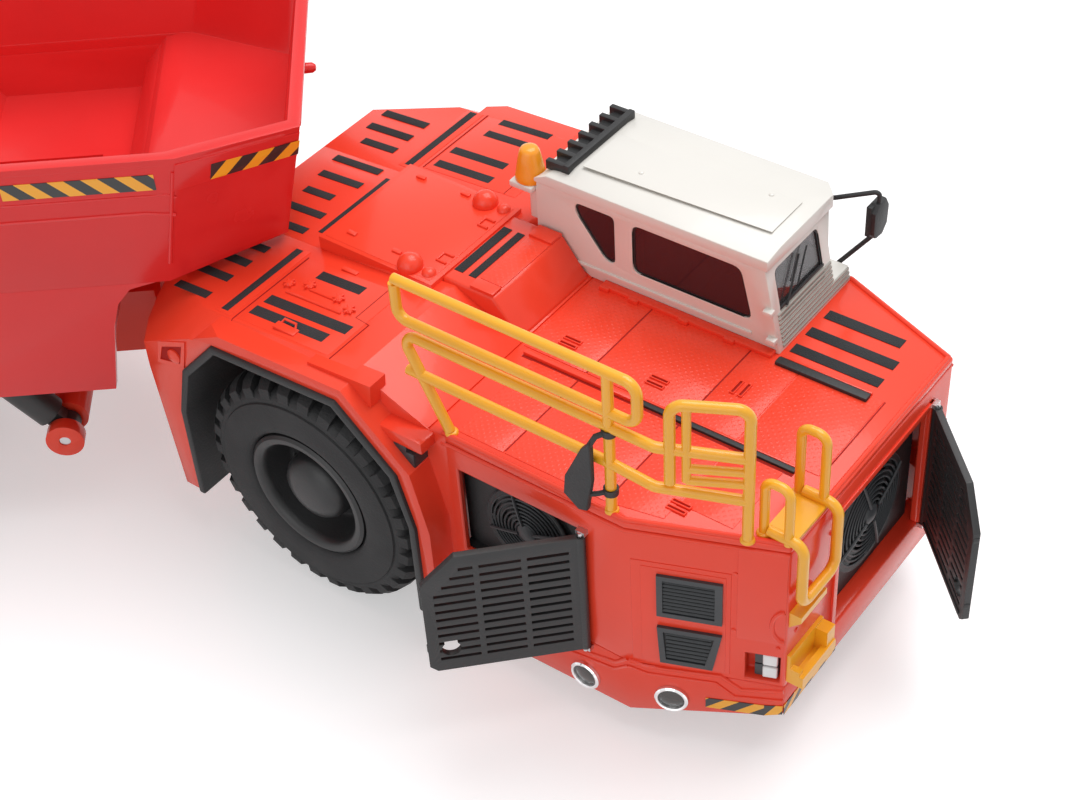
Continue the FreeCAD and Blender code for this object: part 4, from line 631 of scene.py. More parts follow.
@dataclass
class Fenders(Dressing):
    """Tapes, hatches and latches on the front fenders and the hood between them."""

    top: float = 46.15
    slope: float = math.tan(math.radians(4.0))
    hood: float = 47.5
    tape_thick: float = 0.10
    rear_runs: tuple = ((-28.0, -19.4, 18.7, 1.6), (-28.2, -19.4, 22.7, 1.6), (-26.0, -19.3, 14.8, 1.5))
    outer_run: tuple = (-25.8, -19.4, -27.2, 1.5)
    centre_runs: tuple = ((-26.8, -17.5, 9.0, 1.5), (-26.0, -17.8, 4.7, 1.5), (-25.2, -19.6, 0.2, 1.5),
                          (-26.0, -17.6, -4.2, 1.5), (-26.0, -17.4, -8.4, 1.5))
    right_runs: tuple = ((-11.2, 4.2, -23.6, 1.9), (-11.4, 2.4, -26.5, 1.9), (-8.3, 0.0, -15.7, 1.8))
    left_runs: tuple = ((-9.4, 0.2, 29.0, 1.5), (-9.6, -1.6, 25.4, 1.6), (-11.4, -1.0, 19.2, 1.7),
                        (-11.4, -0.7, 15.2, 1.7))
    cross_runs: tuple = ((-15.0, -28.6, -12.4, 1.3), (-15.0, 12.6, 29.2, 1.3), (-15.0, -7.6, 8.2, 1.3))
    crest_tapes: tuple = ((8.95, 10.45), (11.5, 12.75))
    latches: tuple = ((-10.6, -19.6), (-7.6, -18.5), (-1.8, -18.9), (1.3, -20.2))
    rods: tuple = (((-9.8, -21.2), (0.6, -21.3)), ((-7.0, -19.2), (-2.2, -19.3)))
    studs: tuple = ((-8.7, -7.6), (-0.4, -7.4), (-8.8, 8.6), (-0.5, 8.8))
    joint: float = 0.11

    def height(self, x: float) -> float:
        """The fender's top at a place along the truck."""
        return self.top + self.slope * x

    def build(self) -> None:
        """Dress the fenders."""
        self._tapes()
        self._hatches()
        self._latches()
        self._hood()
        self._joints()
        self._corner()

    def _tape(self, form: Form, x0: float, x1: float, y0: float, y1: float) -> None:
        """Stick one strip of anti-slip tape on the fender's top.

        Args:
            form: The mesh of all the tapes.
            x0: Rear end.
            x1: Front end.
            y0: Right side.
            y1: Left side.
        """
        corners = [(x0, y0, self.height(x0)), (x1, y0, self.height(x1)), (x1, y1, self.height(x1)),
                   (x0, y1, self.height(x0))]
        form.plate(corners, (0, 0, self.tape_thick), 0.03)

    def _tapes(self) -> None:
        """Stick all the tapes."""
        form = Form("fender_tapes")
        runs = mirror_runs(self.rear_runs) + [self.outer_run]
        for x0, x1, y, width in runs + list(self.centre_runs + self.right_runs + self.left_runs):
            self._tape(form, x0, x1, y - width / 2, y + width / 2)
        for x, y0, y1, width in self.cross_runs:
            self._tape(form, x - width / 2, x + width / 2, y0, y1)
        for x0, x1 in self.crest_tapes:
            form.plate([(x0, -6.0, self.hood), (x1, -6.0, self.hood), (x1, 5.7, self.hood),
                        (x0, 5.7, self.hood)],
                       (0, 0, self.tape_thick), 0.03)
        self.front(form, Paints.GRIT, "black_plastic")

    def _hatches(self) -> None:
        """Lay the thin raised hatch plates whose edges read as seams."""
        form = Form("fender_hatches")
        for x0, x1, y0, y1 in (
            (-16.4, -13.2, -29.2, -12.0), (-16.4, -13.2, 12.0, 29.4),
            (-12.2, 5.2, -29.2, -13.4), (-12.2, 5.2, 13.2, 29.4),
        ):
            corners = [(x0, y0, self.height(x0)), (x1, y0, self.height(x1)), (x1, y1, self.height(x1)),
                       (x0, y1, self.height(x0))]
            form.plate(corners, (0, 0, 0.06), 0.04)
        form.plate([(-11.8, -9.9, self.hood), (7.6, -9.9, self.hood), (7.6, 9.9, self.hood),
                    (-11.8, 9.9, self.hood)],
                   (0, 0, 0.08), 0.05)
        self.front(form, Paints.RED, "red_paint")

    def _latches(self) -> None:
        """Set the star latches and their rods, and the cover with its handle."""
        form = Form("fender_latches")
        for x, y in self.latches:
            base = Matrix.Translation((x, y, self.height(x)))
            form.lathe([(0, 0), (0, 0.7), (0.35, 0.65), (0.6, 0.4), (0.65, 0)], base, 14)
            for turn in (20, 80, 140):
                form.bar((-0.95, -0.15, 0.2), (0.95, 0.15, 0.55), 0.06,
                         base @ Matrix.Rotation(math.radians(turn), 4, "Z"))
        for (x0, y0), (x1, y1) in self.rods:
            form.pipe([(x0, y0, self.height(x0) + 0.18), (x1, y1, self.height(x1) + 0.18)], 0.18, 8)
        cover = self.height(-4.0)
        form.bar((-5.8, -28.5, cover), (-1.9, -27.1, cover + 0.45), 0.15)
        form.pipe([(-5.2, -27.4, cover + 0.3), (-4.9, -26.7, cover + 0.8), (-2.8, -26.7, cover + 0.8),
                   (-2.5, -27.4, cover + 0.3)], 0.2, 8)
        form.bar((-6.2, -13.3, cover - 0.1), (-3.4, -12.5, cover + 0.25), 0.1)
        self.front(form, Paints.RED, "red_paint")

    def _hood(self) -> None:
        """Set the hood's studs, hinge loops and bosses, and the raised borders of the crest."""
        form = Form("hood_fittings")
        for x, y in self.studs:
            form.bar((x - 0.8, y - 0.36, self.hood), (x + 0.8, y + 0.36, self.hood + 0.42), 0.17)
        for y0, y1 in ((3.9, 5.7), (-5.8, -4.0)):
            form.pipe([(7.3, y0, self.hood + 0.2), (5.6, y0, self.hood + 0.2), (5.6, y1, self.hood + 0.2),
                       (7.3, y1, self.hood + 0.2)], 0.2, 8)
        for y in (-8.7, 8.9):
            form.lathe([(0, 0), (0, 1.1), (0.5, 1.0), (0.85, 0.65), (1.0, 0)],
                       Matrix.Translation((6.5, y, self.hood - 0.1)), 18)
        for y0, y1 in ((-8.0, -5.9), (5.9, 8.6)):
            form.bar((13.2, y0, self.hood - 0.2), (17.3, y1, self.hood + 0.4), 0.18)
        self.front(form, Paints.RED, "red_paint")
        panel = Form("crest_panel")
        panel.bar((13.4, -5.6, self.hood - 0.1), (17.2, 5.6, self.hood + 0.1), 0.05)
        self.front(panel, Paints.RED_PLATE, "red_paint")

    def _joints(self) -> None:
        """Run painted shade round the hatches and down over the shoulders: thin dark strips along the joints,
        where their gaps hold shade.
        """
        form = Form("fender_joints")
        rear, middle, front = -12.5, 3.1, 5.8
        for sign in (-1, 1):
            for path in (((rear, 13.3), (rear, 29.5)),
                         ((middle, 13.3), (middle, 20.9), (front, 21.3), (front, 29.5))):
                form.pipe([(x, sign * y, self.height(x)) for x, y in path], self.joint, 6)
            form.pipe([(rear, sign * 29.5, self.height(rear)),
                       (rear + 0.1, sign * 31.6, self.height(rear) - 1.5),
                       (front - 0.1, sign * 31.6, self.height(front) - 1.5),
                       (front, sign * 29.5, self.height(front))], self.joint, 6)
        form.pipe([(-11.9, -10.3, self.hood - 1.6), (8.3, -10.3, self.hood - 1.6)], self.joint, 6)
        self.front(form, Paints.GAP_SHADE, "red_paint")

    def _corner(self) -> None:
        """Frame the recess and its boss at each fender's rear lower corner, and darken the recess's back as
        painted shade.
        """
        frame, back = Form("fender_corner_frames"), Form("fender_corner_recesses")
        outer = ((-25.9, 33.9), (-20.3, 35.3), (-18.9, 40.9), (-24.8, 38.4))
        inner = ((-25.2, 34.8), (-20.9, 35.9), (-19.8, 39.7), (-24.2, 37.7))
        for sign in (-1, 1):
            y = sign * 33.6
            frame.ring([(x, y, z) for x, z in outer], [(x, y, z) for x, z in inner], (0, sign * 0.22, 0))
            # The recess's back is a dark plate of painted shade.
            back.plate([(x, y, z) for x, z in inner], (0, sign * 0.04, 0))
            frame.lathe([(0, 0), (0, 1.25), (0.3, 1.2), (0.5, 0.9), (0.55, 0)],
                        Matrix.Translation((-22.0, y, 36.8)) @ Matrix.Rotation(math.radians(90 * -sign), 4,
                                                                               "X"), 20)
        self.front(frame, Paints.RED, "red_paint")
        self.front(back, Paints.GAP_SHADE, "red_paint")


@dataclass
class Deck(Dressing):
    """The chequered deck plates, the painted shade in their joints and slots, their lips and tapes."""

    top: float = 41.6
    tape_runs: tuple = ((54.6, 66.6, 20.0, 1.9), (54.3, 68.0, 15.5, 1.9), (54.3, 68.0, 11.3, 1.9))
    bar_run: tuple = (54.0, 68.2, 7.5, 1.4)
    walk: float = -9.6
    walk_start: float = 23.8
    walk_change: float = 42.6
    walk_end: float = 67.2
    cross: tuple = (33.45, 49.8)
    slots: tuple = ((28.0, -4.7, True), (42.7, -5.0, True), (52.9, 0.0, False), (58.2, -23.2, True))

    def build(self) -> None:
        """Dress the deck."""
        self._tapes()
        self._plates()
        self._slots()
        self._lips()

    def _tapes(self) -> None:
        """Stick the tapes, and lay the strip along the walkway's edge: red at first, then black."""
        tapes = Form("deck_tapes")
        for x0, x1, y, width in self.tape_runs:
            tapes.bar((x0, y - width / 2, self.top), (x1, y + width / 2, self.top + 0.12), 0.03)
        self.front(tapes, Paints.GRIT, "black_plastic")
        bars = Form("deck_edge_bars")
        x0, x1, y, width = self.bar_run
        bars.bar((x0, y - width / 2, self.top), (x1, y + width / 2, self.top + 0.7), 0.25)
        bars.bar((self.walk_change, self.walk - 0.5, self.top),
                 (self.walk_end, self.walk + 0.3, self.top + 0.5), 0.18)
        self.front(bars, Paints.BLACK, "black_plastic")
        edge = Form("deck_edge_lips")
        edge.bar((self.walk_start, self.walk - 0.6, self.top),
                 (self.walk_change, self.walk + 0.3, self.top + 0.62), 0.15)
        edge.bar((self.walk_change, self.walk + 0.35, self.top),
                 (self.walk_end, self.walk + 0.75, self.top + 0.5), 0.12)
        edge.bar((54.0, 8.4, self.top), (68.2, 8.75, self.top + 0.5), 0.1)
        edge.pipe([(12.8 + 1.9 * math.cos(t), -9.6 - 1.3 * math.sin(t), self.top + 0.25)
                   for t in (math.pi * k / 8 for k in range(9))], 0.2, 8)
        self.front(edge, Paints.RED, "red_paint")

    def _plates(self) -> None:
        """Lay the chequered plates, with painted shade, a dark strip, at the bottom of each gap and below the
        walkway's edge.
        """
        plates = Form("deck_plates")
        start, end = 22.6, 70.2
        for y0, y1 in ((-8.6, 8.4), (-27.4, -10.6)):
            stops = [start if y0 > -9 else 25.6, *self.cross, 57.8, end if y0 > -9 else 66.0]
            for x0, x1 in zip(stops, stops[1:]):
                far = y0 if y0 > -9 or x1 < 54 else y0 + 0.4 * (x1 - 54)
                plates.plate([(x0 + 0.12, y0 if x0 < 54 else far, self.top - 0.05),
                              (x1 - 0.12, far, self.top - 0.05),
                              (x1 - 0.12, y1, self.top - 0.05), (x0 + 0.12, y1, self.top - 0.05)],
                              (0, 0, 0.16), 0.04)
        self.front(plates, Paints.RED_PLATE, "red_paint")
        joints = Form("deck_joints")
        for x in (*self.cross, 70.3):
            joints.bar((x - 0.1, -8.5, self.top), (x + 0.1, 8.3, self.top + 0.06))
        for x in self.cross:
            joints.bar((x - 0.1, -27.0, self.top), (x + 0.1, -10.7, self.top + 0.06))
        # Painted shadow: a dark strip below the walkway's raised edge, where its shade falls on the plates
        # beside it.
        joints.bar((self.walk_start, self.walk - 1.0, self.top),
                   (self.walk_end, self.walk - 0.62, self.top + 0.05))
        self.front(joints, Paints.GAP_SHADE, "red_paint")

    def _slots(self) -> None:
        """Raise a rim round each pair of slots, with painted shade, a dark plate, inside each slot."""
        rims, slot_shade = Form("deck_slot_rims"), Form("deck_slots")
        foot, wall = self.top + 0.05, 0.17
        for x, y, along in self.slots:
            for k in (-0.62, 0.62):
                half = (1.45, 0.36) if along else (0.36, 1.45)
                cx, cy = (x, y + k) if along else (x + k, y)
                outer = [(cx - half[0], cy - half[1]), (cx + half[0], cy - half[1]),
                         (cx + half[0], cy + half[1]), (cx - half[0], cy + half[1])]
                inner = [(cx + (a - cx) * (1 - wall / half[0]), cy + (b - cy) * (1 - wall / half[1]), foot)
                         for a, b in outer]
                rims.ring([(a, b, foot) for a, b in outer], inner, (0, 0, 0.32))
                slot_shade.plate(inner, (0, 0, 0.08))
        self.front(rims, Paints.RED, "red_paint")
        self.front(slot_shade, Paints.GAP_SHADE, "red_paint")

    def _lips(self) -> None:
        """Run the two rounded lips along the deck's edge."""
        form = Form("deck_lips")
        upper = ((24.2, 28.7), (53.6, 28.7), (73.0, 21.0))
        lower = ((24.2, 29.1), (53.75, 29.1), (73.5, 21.3))
        for sign in (-1, 1):
            form.pipe([(x, sign * y, self.top) for x, y in upper], 0.4, 10)
            form.pipe([(x, sign * y, self.top - 1.5) for x, y in lower], 0.32, 8)
        form.pipe([(73.0, -12.0, self.top), (73.0, 21.0, self.top)], 0.4, 10)
        self.front(form, Paints.RED, "red_paint")


class Repeater:
    """A Geometry Nodes tree that sets copies of one piece along a line or round an axis."""

    NAME = "repeat_piece"

    def tree(self) -> Tree:
        """Build the tree once.

        Returns:
            The node group with its named inputs.
        """
        known = bpy.data.node_groups.get(self.NAME)
        if known is not None:
            return known
        group = bpy.data.node_groups.new(self.NAME, "GeometryNodeTree")
        sockets = group.interface
        sockets.new_socket("Geometry", in_out="INPUT", socket_type="NodeSocketGeometry")
        for name, kind in (("Piece", "NodeSocketObject"), ("Count", "NodeSocketInt"),
                           ("Step", "NodeSocketVector"), ("Turn", "NodeSocketVector"),
                           ("Finish", "NodeSocketMaterial")):
            sockets.new_socket(name, in_out="INPUT", socket_type=kind)
        sockets.new_socket("Geometry", in_out="OUTPUT", socket_type="NodeSocketGeometry")
        given = add(group, "NodeGroupInput").outputs
        index = add(group, "GeometryNodeInputIndex").outputs["Index"]
        place = add(group, "ShaderNodeVectorMath", {0: given["Step"], "Scale": index}, operation="SCALE")
        turn = add(group, "ShaderNodeVectorMath", {0: given["Turn"], "Scale": index}, operation="SCALE")
        points = add(group, "GeometryNodePoints",
                     {"Count": given["Count"], "Position": place.outputs["Vector"]})
        euler = add(group, "FunctionNodeEulerToRotation", {"Euler": turn.outputs["Vector"]})
        piece = add(group, "GeometryNodeObjectInfo", {"Object": given["Piece"]})
        copies = add(group, "GeometryNodeInstanceOnPoints", {
            "Points": points.outputs[0], "Instance": piece.outputs["Geometry"],
            "Rotation": euler.outputs["Rotation"]})
        real = add(group, "GeometryNodeRealizeInstances", {"Geometry": copies.outputs["Instances"]})
        finish = add(group, "GeometryNodeSetMaterial", {
            "Geometry": real.outputs["Geometry"], "Material": given["Finish"]})
        add(group, "NodeGroupOutput", {"Geometry": finish.outputs["Geometry"]})
        return group

    def run(self, form: Form, count: int, step: Point = (0, 0, 0), turn: Point = (0, 0, 0)) -> bpy.types.Mesh:
        """Repeat a form, each copy a step and a turn on from the last.

        Args:
            form: The piece, in millimetres about its own origin.
            count: How many copies.
            step: The way from one copy to the next.
            turn: The turn from one copy to the next, in radians.

        Returns:
            One plain mesh of all the copies.
        """
        bmesh.ops.recalc_face_normals(form.mesh, faces=form.mesh.faces)
        data = bpy.data.meshes.new(form.name + "_one")
        form.mesh.to_mesh(data)
        form.mesh.free()
        piece = bpy.data.objects.new(form.name + "_one", data)
        host = bpy.data.objects.new(form.name + "_all", bpy.data.meshes.new(form.name + "_host"))
        for item in (piece, host):
            bpy.context.scene.collection.objects.link(item)
        live = host.modifiers.new("repeat", "NODES")
        live.node_group = self.tree()
        values = {"Piece": piece, "Count": count, "Step": step, "Turn": turn,
                  "Finish": Paints.BLACK.material()}
        for socket in live.node_group.interface.items_tree:
            if socket.item_type == "SOCKET" and socket.in_out == "INPUT" and socket.name in values:
                live[socket.identifier] = values[socket.name]
        bpy.context.view_layer.update()
        whole = bpy.data.meshes.new_from_object(host.evaluated_get(bpy.context.evaluated_depsgraph_get()))
        for item in (host, piece):
            bpy.data.objects.remove(item)
        return whole


def carried(name: str, data: bpy.types.Mesh, seat: Matrix, paint: Finish, body: str,
            hides: Sequence[str] = (), angle: float = 35.0) -> bpy.types.Object:
    """Carry a finished mesh to its seat and settle it.

    Args:
        name: The piece's name.
        data: The mesh, in the seat's own millimetres.
        seat: From the seat to the row's metres.
        paint: The piece's finish.
        body: The body it rides on.
        hides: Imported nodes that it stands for.
        angle: Edges sharper than this stay sharp.

    Returns:
        The finished object.
    """
    data.transform(seat)
    return settle(name, data, paint, body, hides, angle)


@dataclass
class Coats:
    """The painted castings, with the soft edges that enamel leaves on them."""

    frame: dict
    widths: tuple = (
        ("fender_right", 0.45, "RED", "front"), ("fender_left", 0.45, "RED", "front"),
        ("hood", 0.4, "RED", "front"),
        ("hood_crest", 0.5, "RED", "front"), ("nose_shell", 0.5, "RED", "front"),
        ("deck", 0.35, "RED", "front"),
        ("bumper", 0.45, "RED", "front"), ("front_frame", 0.35, "RED", "front"),
        ("cab_shell", 0.35, "CREAM", "front"), ("cab_roof", 0.5, "CREAM", "front"),
        ("beacon_bracket", 0.2, "CREAM", "front"), ("arch_liner_right", 0.3, "BLACK", "front"),
        ("arch_liner_left", 0.3, "BLACK", "front"), ("roof_louvre", 0.15, "BLACK", "front"),
        ("rear_frame", 0.35, "RED", "rear"), ("box_tub", 0.6, "RED_BOX", "box"),
        ("box_trough", 0.5, "RED_BOX", "box"),
        ("box_well", 0.5, "RED_BOX", "box"), ("box_brackets", 0.3, "RED_BOX", "box"),
        ("mirror_left", 0.12, "BLACK", "front"), ("head_lamps", 0.2, "CLEAR", "front"),
        ("grille_door_side", 0.14, "DOOR", "side_door"), ("grille_door_front", 0.14, "DOOR", "front_door"),
        ("seat", 0.5, "TRIM", "front"), ("tail_lamps", 0.2, "RUBY", "rear"),
    )
    holed: tuple = ("box_tub",)
    flat: float = math.radians(1.0)
    corner: float = math.radians(28.0)

    def build(self) -> None:
        """Round the edges of every listed node."""
        for node, width, paint, body in self.widths:
            self._soften(node, width * MM, getattr(Paints, paint), body)

    def _soften(self, node: str, width: float, paint: Finish, body: str) -> None:
        """Copy one node, merge its points and round its edges.

        Args:
            node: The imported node.
            width: The rounding's width.
            paint: Its finish.
            body: The body it rides on.
        """
        mesh = bmesh.new()
        mesh.from_mesh(self.frame["nodes"][node].data)
        bmesh.ops.remove_doubles(mesh, verts=mesh.verts, dist=1e-6)
        bmesh.ops.dissolve_limit(mesh, angle_limit=self.flat, verts=mesh.verts, edges=mesh.edges)
        if node in self.holed:
            # A face that wraps round an opening folds over itself when its edges are rounded.
            bmesh.ops.connect_verts_concave(mesh, faces=[face for face in mesh.faces if len(face.verts) > 4])
        bmesh.ops.recalc_face_normals(mesh, faces=mesh.faces)
        data = bpy.data.meshes.new(node + "_merged")
        mesh.to_mesh(data)
        mesh.free()
        item = bpy.data.objects.new(node + "_merged", data)
        bpy.context.scene.collection.objects.link(item)
        edge = item.modifiers.new("edge", "BEVEL")
        edge.width = width
        edge.segments = 2
        edge.limit_method = "ANGLE"
        edge.angle_limit = self.corner
        edge.use_clamp_overlap = True
        bpy.context.view_layer.update()
        made = bpy.data.meshes.new_from_object(item.evaluated_get(bpy.context.evaluated_depsgraph_get()))
        bpy.data.objects.remove(item)
        settle(node + "_coat", made, paint, body, (node,), 32.0)


@dataclass
class Wheels(Dressing):
    """Tyres with tread lugs, and stepped rims with their hubs."""

    radius: float = 19.8
    carcass: float = 18.2
    half: float = 8.5
    face: float = 24.7
    rear_axle: float = -75.0
    lugs: int = 30
    repeat: Repeater = field(default_factory=Repeater)

    def build(self) -> None:
        """Build the four wheels."""
        units = (("front", self.layout.front, 0.0), ("rear", self.layout.rear, self.rear_axle))
        for unit, seat, axle in units:
            for side, sign in (("right", -1), ("left", 1)):
                outward = Matrix.Rotation(math.radians(90 * -sign), 4, "X")
                place = seat @ Matrix.Translation((axle, sign * self.face, self.radius)) @ outward
                self._tyre(f"{unit}_{side}", place)
                self._rim(f"{unit}_{side}", place)

    def _tyre(self, name: str, place: Matrix) -> None:
        """Turn the carcass and set the lugs round it.

        Args:
            name: The wheel's name.
            place: Its seat, with Z out of the truck along the axle.
        """
        steps = ((0.9, 10.7), (0.25, 11.2), (0.02, 12.2), (0.02, 13.6), (0.12, 15.2), (0.22, 16.1),
                 (0.5, 16.25), (0.42, 16.5), (0.55, 17.1), (1.1, 17.9), (2.4, self.carcass))
        wall = [(self.half - inset, radius) for inset, radius in steps]
        profile = wall + [(-z, r) for z, r in reversed(wall)]
        Form(f"tyre_{name}_carcass").lathe(profile, Matrix.Identity(4), 96).done(
            place, Paints.RUBBER, f"wheel_{name}", "tyre", (f"tyre_{name}",), 50.0)
        lug = Form(f"tyre_{name}_lugs")
        for sign, turn in ((1, 0.0), (-1, math.pi / self.lugs)):
            self._lug(lug, sign, turn)
        data = self.repeat.run(lug, self.lugs, turn=(0, 0, 2 * math.pi / self.lugs))
        carried(f"tyre_{name}_lugs", data, place, Paints.RUBBER, f"wheel_{name}", (), 25.0)

    def _lug(self, form: Form, sign: int, turn: float) -> None:
        """Add one tread lug from the shoulder to the tyre's middle.

        Args:
            form: The mesh it is added to.
            sign: 1 for the outer shoulder, -1 for the inner.
            turn: Where round the tyre it stands.
        """
        pitch = 2 * math.pi / self.lugs
        stations = ((self.half - 0.5, 17.3, 0.0, 0.30), (self.half - 0.75, 18.5, 0.0, 0.31),
                    (self.half - 1.8, 19.35, 0.03, 0.33), (5.2, 19.74, 0.10, 0.34), (2.8, 19.8, 0.22, 0.33),
                    (-0.6, 19.8, 0.38, 0.30))
        rings = []
        for z, top, lean, share in stations:
            middle = turn + lean * pitch
            ring = []
            for angle, radius in ((middle - share * pitch, 17.0), (middle - share * pitch * 0.86, top),
                                  (middle + share * pitch * 0.86, top), (middle + share * pitch, 17.0)):
                point = (radius * math.cos(angle), radius * math.sin(angle), sign * z)
                ring.append(form.mesh.verts.new(point))
            rings.append(ring)
        for first, second in zip(rings, rings[1:]):
            for k in range(4):
                j = (k + 1) % 4
                form.mesh.faces.new((first[k], first[j], second[j], second[k]))
        form.mesh.faces.new(rings[0])
        form.mesh.faces.new(list(reversed(rings[-1])))

    def _rim(self, name: str, place: Matrix) -> None:
        """Turn the stepped rim and its hub, and set the nuts round them.

        Args:
            name: The wheel's name.
            place: Its seat.
        """
        half = self.half
        outer = ((0.3, 0), (0.3, 2.4), (0.55, 3.3), (1.2, 4.7), (2.2, 5.4), (5.6, 5.8), (5.9, 6.4),
                 (5.9, 7.6),
                 (5.4, 8.1), (1.4, 8.6), (0.7, 8.8), (0.25, 9.1), (0.08, 9.5), (0.08, 10.1), (0.45, 10.55),
                 (1.4, 10.6))
        inner = [(-half + 0.6, 10.6), (-half + 0.1, 10.3), (-half + 0.1, 9.6), (-half + 0.8, 9.2), (0.2, 8.9),
                 (0.2, 2.2), (-4.2, 2.2), (-4.2, 0)]
        outline = [(half - inset, radius) for inset, radius in outer] + inner
        Form(f"rim_{name}_turned").lathe(outline, Matrix.Identity(4), 72).done(
            place, Paints.RIM, f"wheel_{name}", "rim_black", (f"rim_{name}",), 38.0)
        nut = Form(f"rim_{name}_nuts")
        nut.lathe([(0.35, 0), (0.3, 0.3), (0, 0.42), (-0.3, 0.42), (-0.3, 0)],
                  Matrix.Translation((7.0, 0, half - 5.75)), 6)
        data = self.repeat.run(nut, 12, turn=(0, 0, math.pi / 6))
        carried(f"rim_{name}_nuts", data, place, Paints.AXLE, f"wheel_{name}")


@dataclass
class Nose(Dressing):
    """Raised panels, creases, vents, lamps and hazard bars round the front unit's nose."""

    bend: tuple = (53.8, 29.2)
    tip: tuple = (73.6, 21.4)
    bend_lamp: tuple = (46.6, 7.3)
    nose_lamp: tuple = (6.0, 8.7)
    vents: tuple = ((16.5, 23.5, 1.2, 7), (25.7, 33.4, 0.0, 9))
    repeat: Repeater = field(default_factory=Repeater)

    def build(self) -> None:
        """Dress both tapered sides and the front."""
        for side, sign in (("right", -1), ("left", 1)):
            self._panel(side, sign)
            self._vents(side, sign)
            self._lamps(side, sign)
            self._housings(side, sign)
            self._hazard(side, sign)
        self._front()

    def _seat(self, sign: int) -> Matrix:
        """The tapered side's own frame: X along it, Y out of it, Z up.

        Args:
            sign: -1 for the right side, 1 for the left.

        Returns:
            The matrix into the front unit's millimetres.
        """
        (x0, y0), (x1, y1) = self.bend, self.tip
        along = Vector((x1 - x0, sign * (y1 - y0), 0)).normalized()
        out = Vector((along.y * -sign, along.x * sign, 0))
        turn = Matrix((along, out, Vector((0, 0, 1)))).transposed().to_4x4()
        return Matrix.Translation((x0, sign * y0, 0)) @ turn

    def _panel(self, side: str, sign: int) -> None:
        """Raise the panel round the vents, the crease below it and its screws.

        Args:
            side: The side's name.
            sign: -1 for the right side, 1 for the left.
        """
        seat = self._seat(sign)
        form = Form(f"nose_panel_{side}")
        for s0, s1, z0, z1, thick in ((0.7, 13.9, 15.7, 35.2, 0.14), (2.0, 13.3, 16.1, 34.4, 0.26),
                                      (14.7, 21.1, 23.2, 40.2, 0.12)):
            form.plate([(s0, 0, z0), (s1, 0, z0), (s1, 0, z1), (s0, 0, z1)], (0, thick, 0), 0.1)
        for s, z in ((14.3, 24.6), (14.4, 35.4), (20.2, 22.3)):
            form.lathe([(0.0, 0), (0.0, 0.32), (0.12, 0.3), (0.2, 0.12), (0.2, 0)],
                       Matrix.Translation((s, 0, z)) @ Matrix.Rotation(math.radians(-90), 4, "X"), 10)
        for path, radius in ((((0.1, 15.2), (2.2, 14.3), (12.7, 14.9), (15.6, 12.8), (21.2, 13.8)), 0.34),
                             (((0.0, 13.8), (2.7, 12.9), (12.1, 13.3), (14.7, 11.1), (21.2, 11.9)), 0.26)):
            form.pipe([(s, 0, z) for s, z in path], radius, 8)
        form.done(self.layout.front @ seat, Paints.RED, "front", "red_paint")
        low = Form(f"nose_sill_{side}")
        y = sign * self.bend[1]
        low.pipe([(24.0, y, 10.4), (43.0, y, 11.2), (51.8, y, 13.3), (53.7, y, 15.2)], 0.32, 8)
        low.pipe([(24.0, y, 9.6), (44.4, y, 10.5), (51.5, y, 11.7), (53.8, y, 13.8)], 0.26, 8)
        self.front(low, Paints.RED, "red_paint")

    def _vents(self, side: str, sign: int) -> None:
        """Build both vents: a grey frame, a dark back and thin leaning slats.

        Args:
            side: The side's name.
            sign: -1 for the right side, 1 for the left.
        """
        seat = self.layout.front @ self._seat(sign)
        frames, backs = Form(f"nose_vent_frames_{side}"), Form(f"nose_vent_backs_{side}")
        for low, high, taper, count in self.vents:
            outer = [(4.2 + taper / 3, low), (12.9 - taper, low), (12.9, high), (4.2, high)]
            inner = [(5.0 + taper / 3, low + 0.8), (11.9 - taper, low + 0.8), (11.9, high - 0.8),
                     (5.0, high - 0.8)]
            frames.ring([(x, 0, z) for x, z in outer], [(x, 0, z) for x, z in inner], (0, 0.75, 0))
            backs.plate([(x, 0, z) for x, z in inner], (0, 0.34, 0))
            pitch = (high - low - 1.6) / count
            slat = Form(f"nose_vent_slats_{side}_{count}")
            slat.bar((0, -0.17, -0.06), (6.9 - taper * 0.7, 0.17, 0.06), 0.0,
                     Matrix.Rotation(math.radians(-38), 4, "X"))
            data = self.repeat.run(slat, count, step=(0, 0, pitch))
            carried(f"nose_vent_slats_{side}_{count}", data,
                    seat @ Matrix.Translation((5.0 + taper / 3, 0.5, low + 0.8 + pitch / 2)), Paints.GREY,
                    "front")
        frames.done(seat, Paints.GREY, "front", "grey_plastic")
        backs.done(seat, Paints.BLACK, "front", "black_plastic", ("nose_vents",) if sign < 0 else ())

    def _housings(self, side: str, sign: int) -> None:
        """Stand the head lamps in their grey housings, with a latch above them.

        Args:
            side: The side's name.
            sign: -1 for the right side, 1 for the left.
        """
        form = Form(f"head_lamp_housings_{side}")
        for z in (15.6, 18.0):
            form.bar((17.1, -2.3, z - 0.1), (20.3, -0.75, z + 2.1), 0.2)
        form.done(self.layout.front @ self._seat(sign), Paints.GREY, "front", "grey_plastic")
        latch = Form(f"nose_latch_{side}")
        latch.pipe([(21.0 + 1.7 * math.cos(t), 0.1, 26.7 + 2.9 * math.sin(t))
                    for t in (math.radians(92 + 16 * k) for k in range(12))], 0.34, 8)
        latch.done(self.layout.front @ self._seat(sign), Paints.RED, "front", "red_paint")

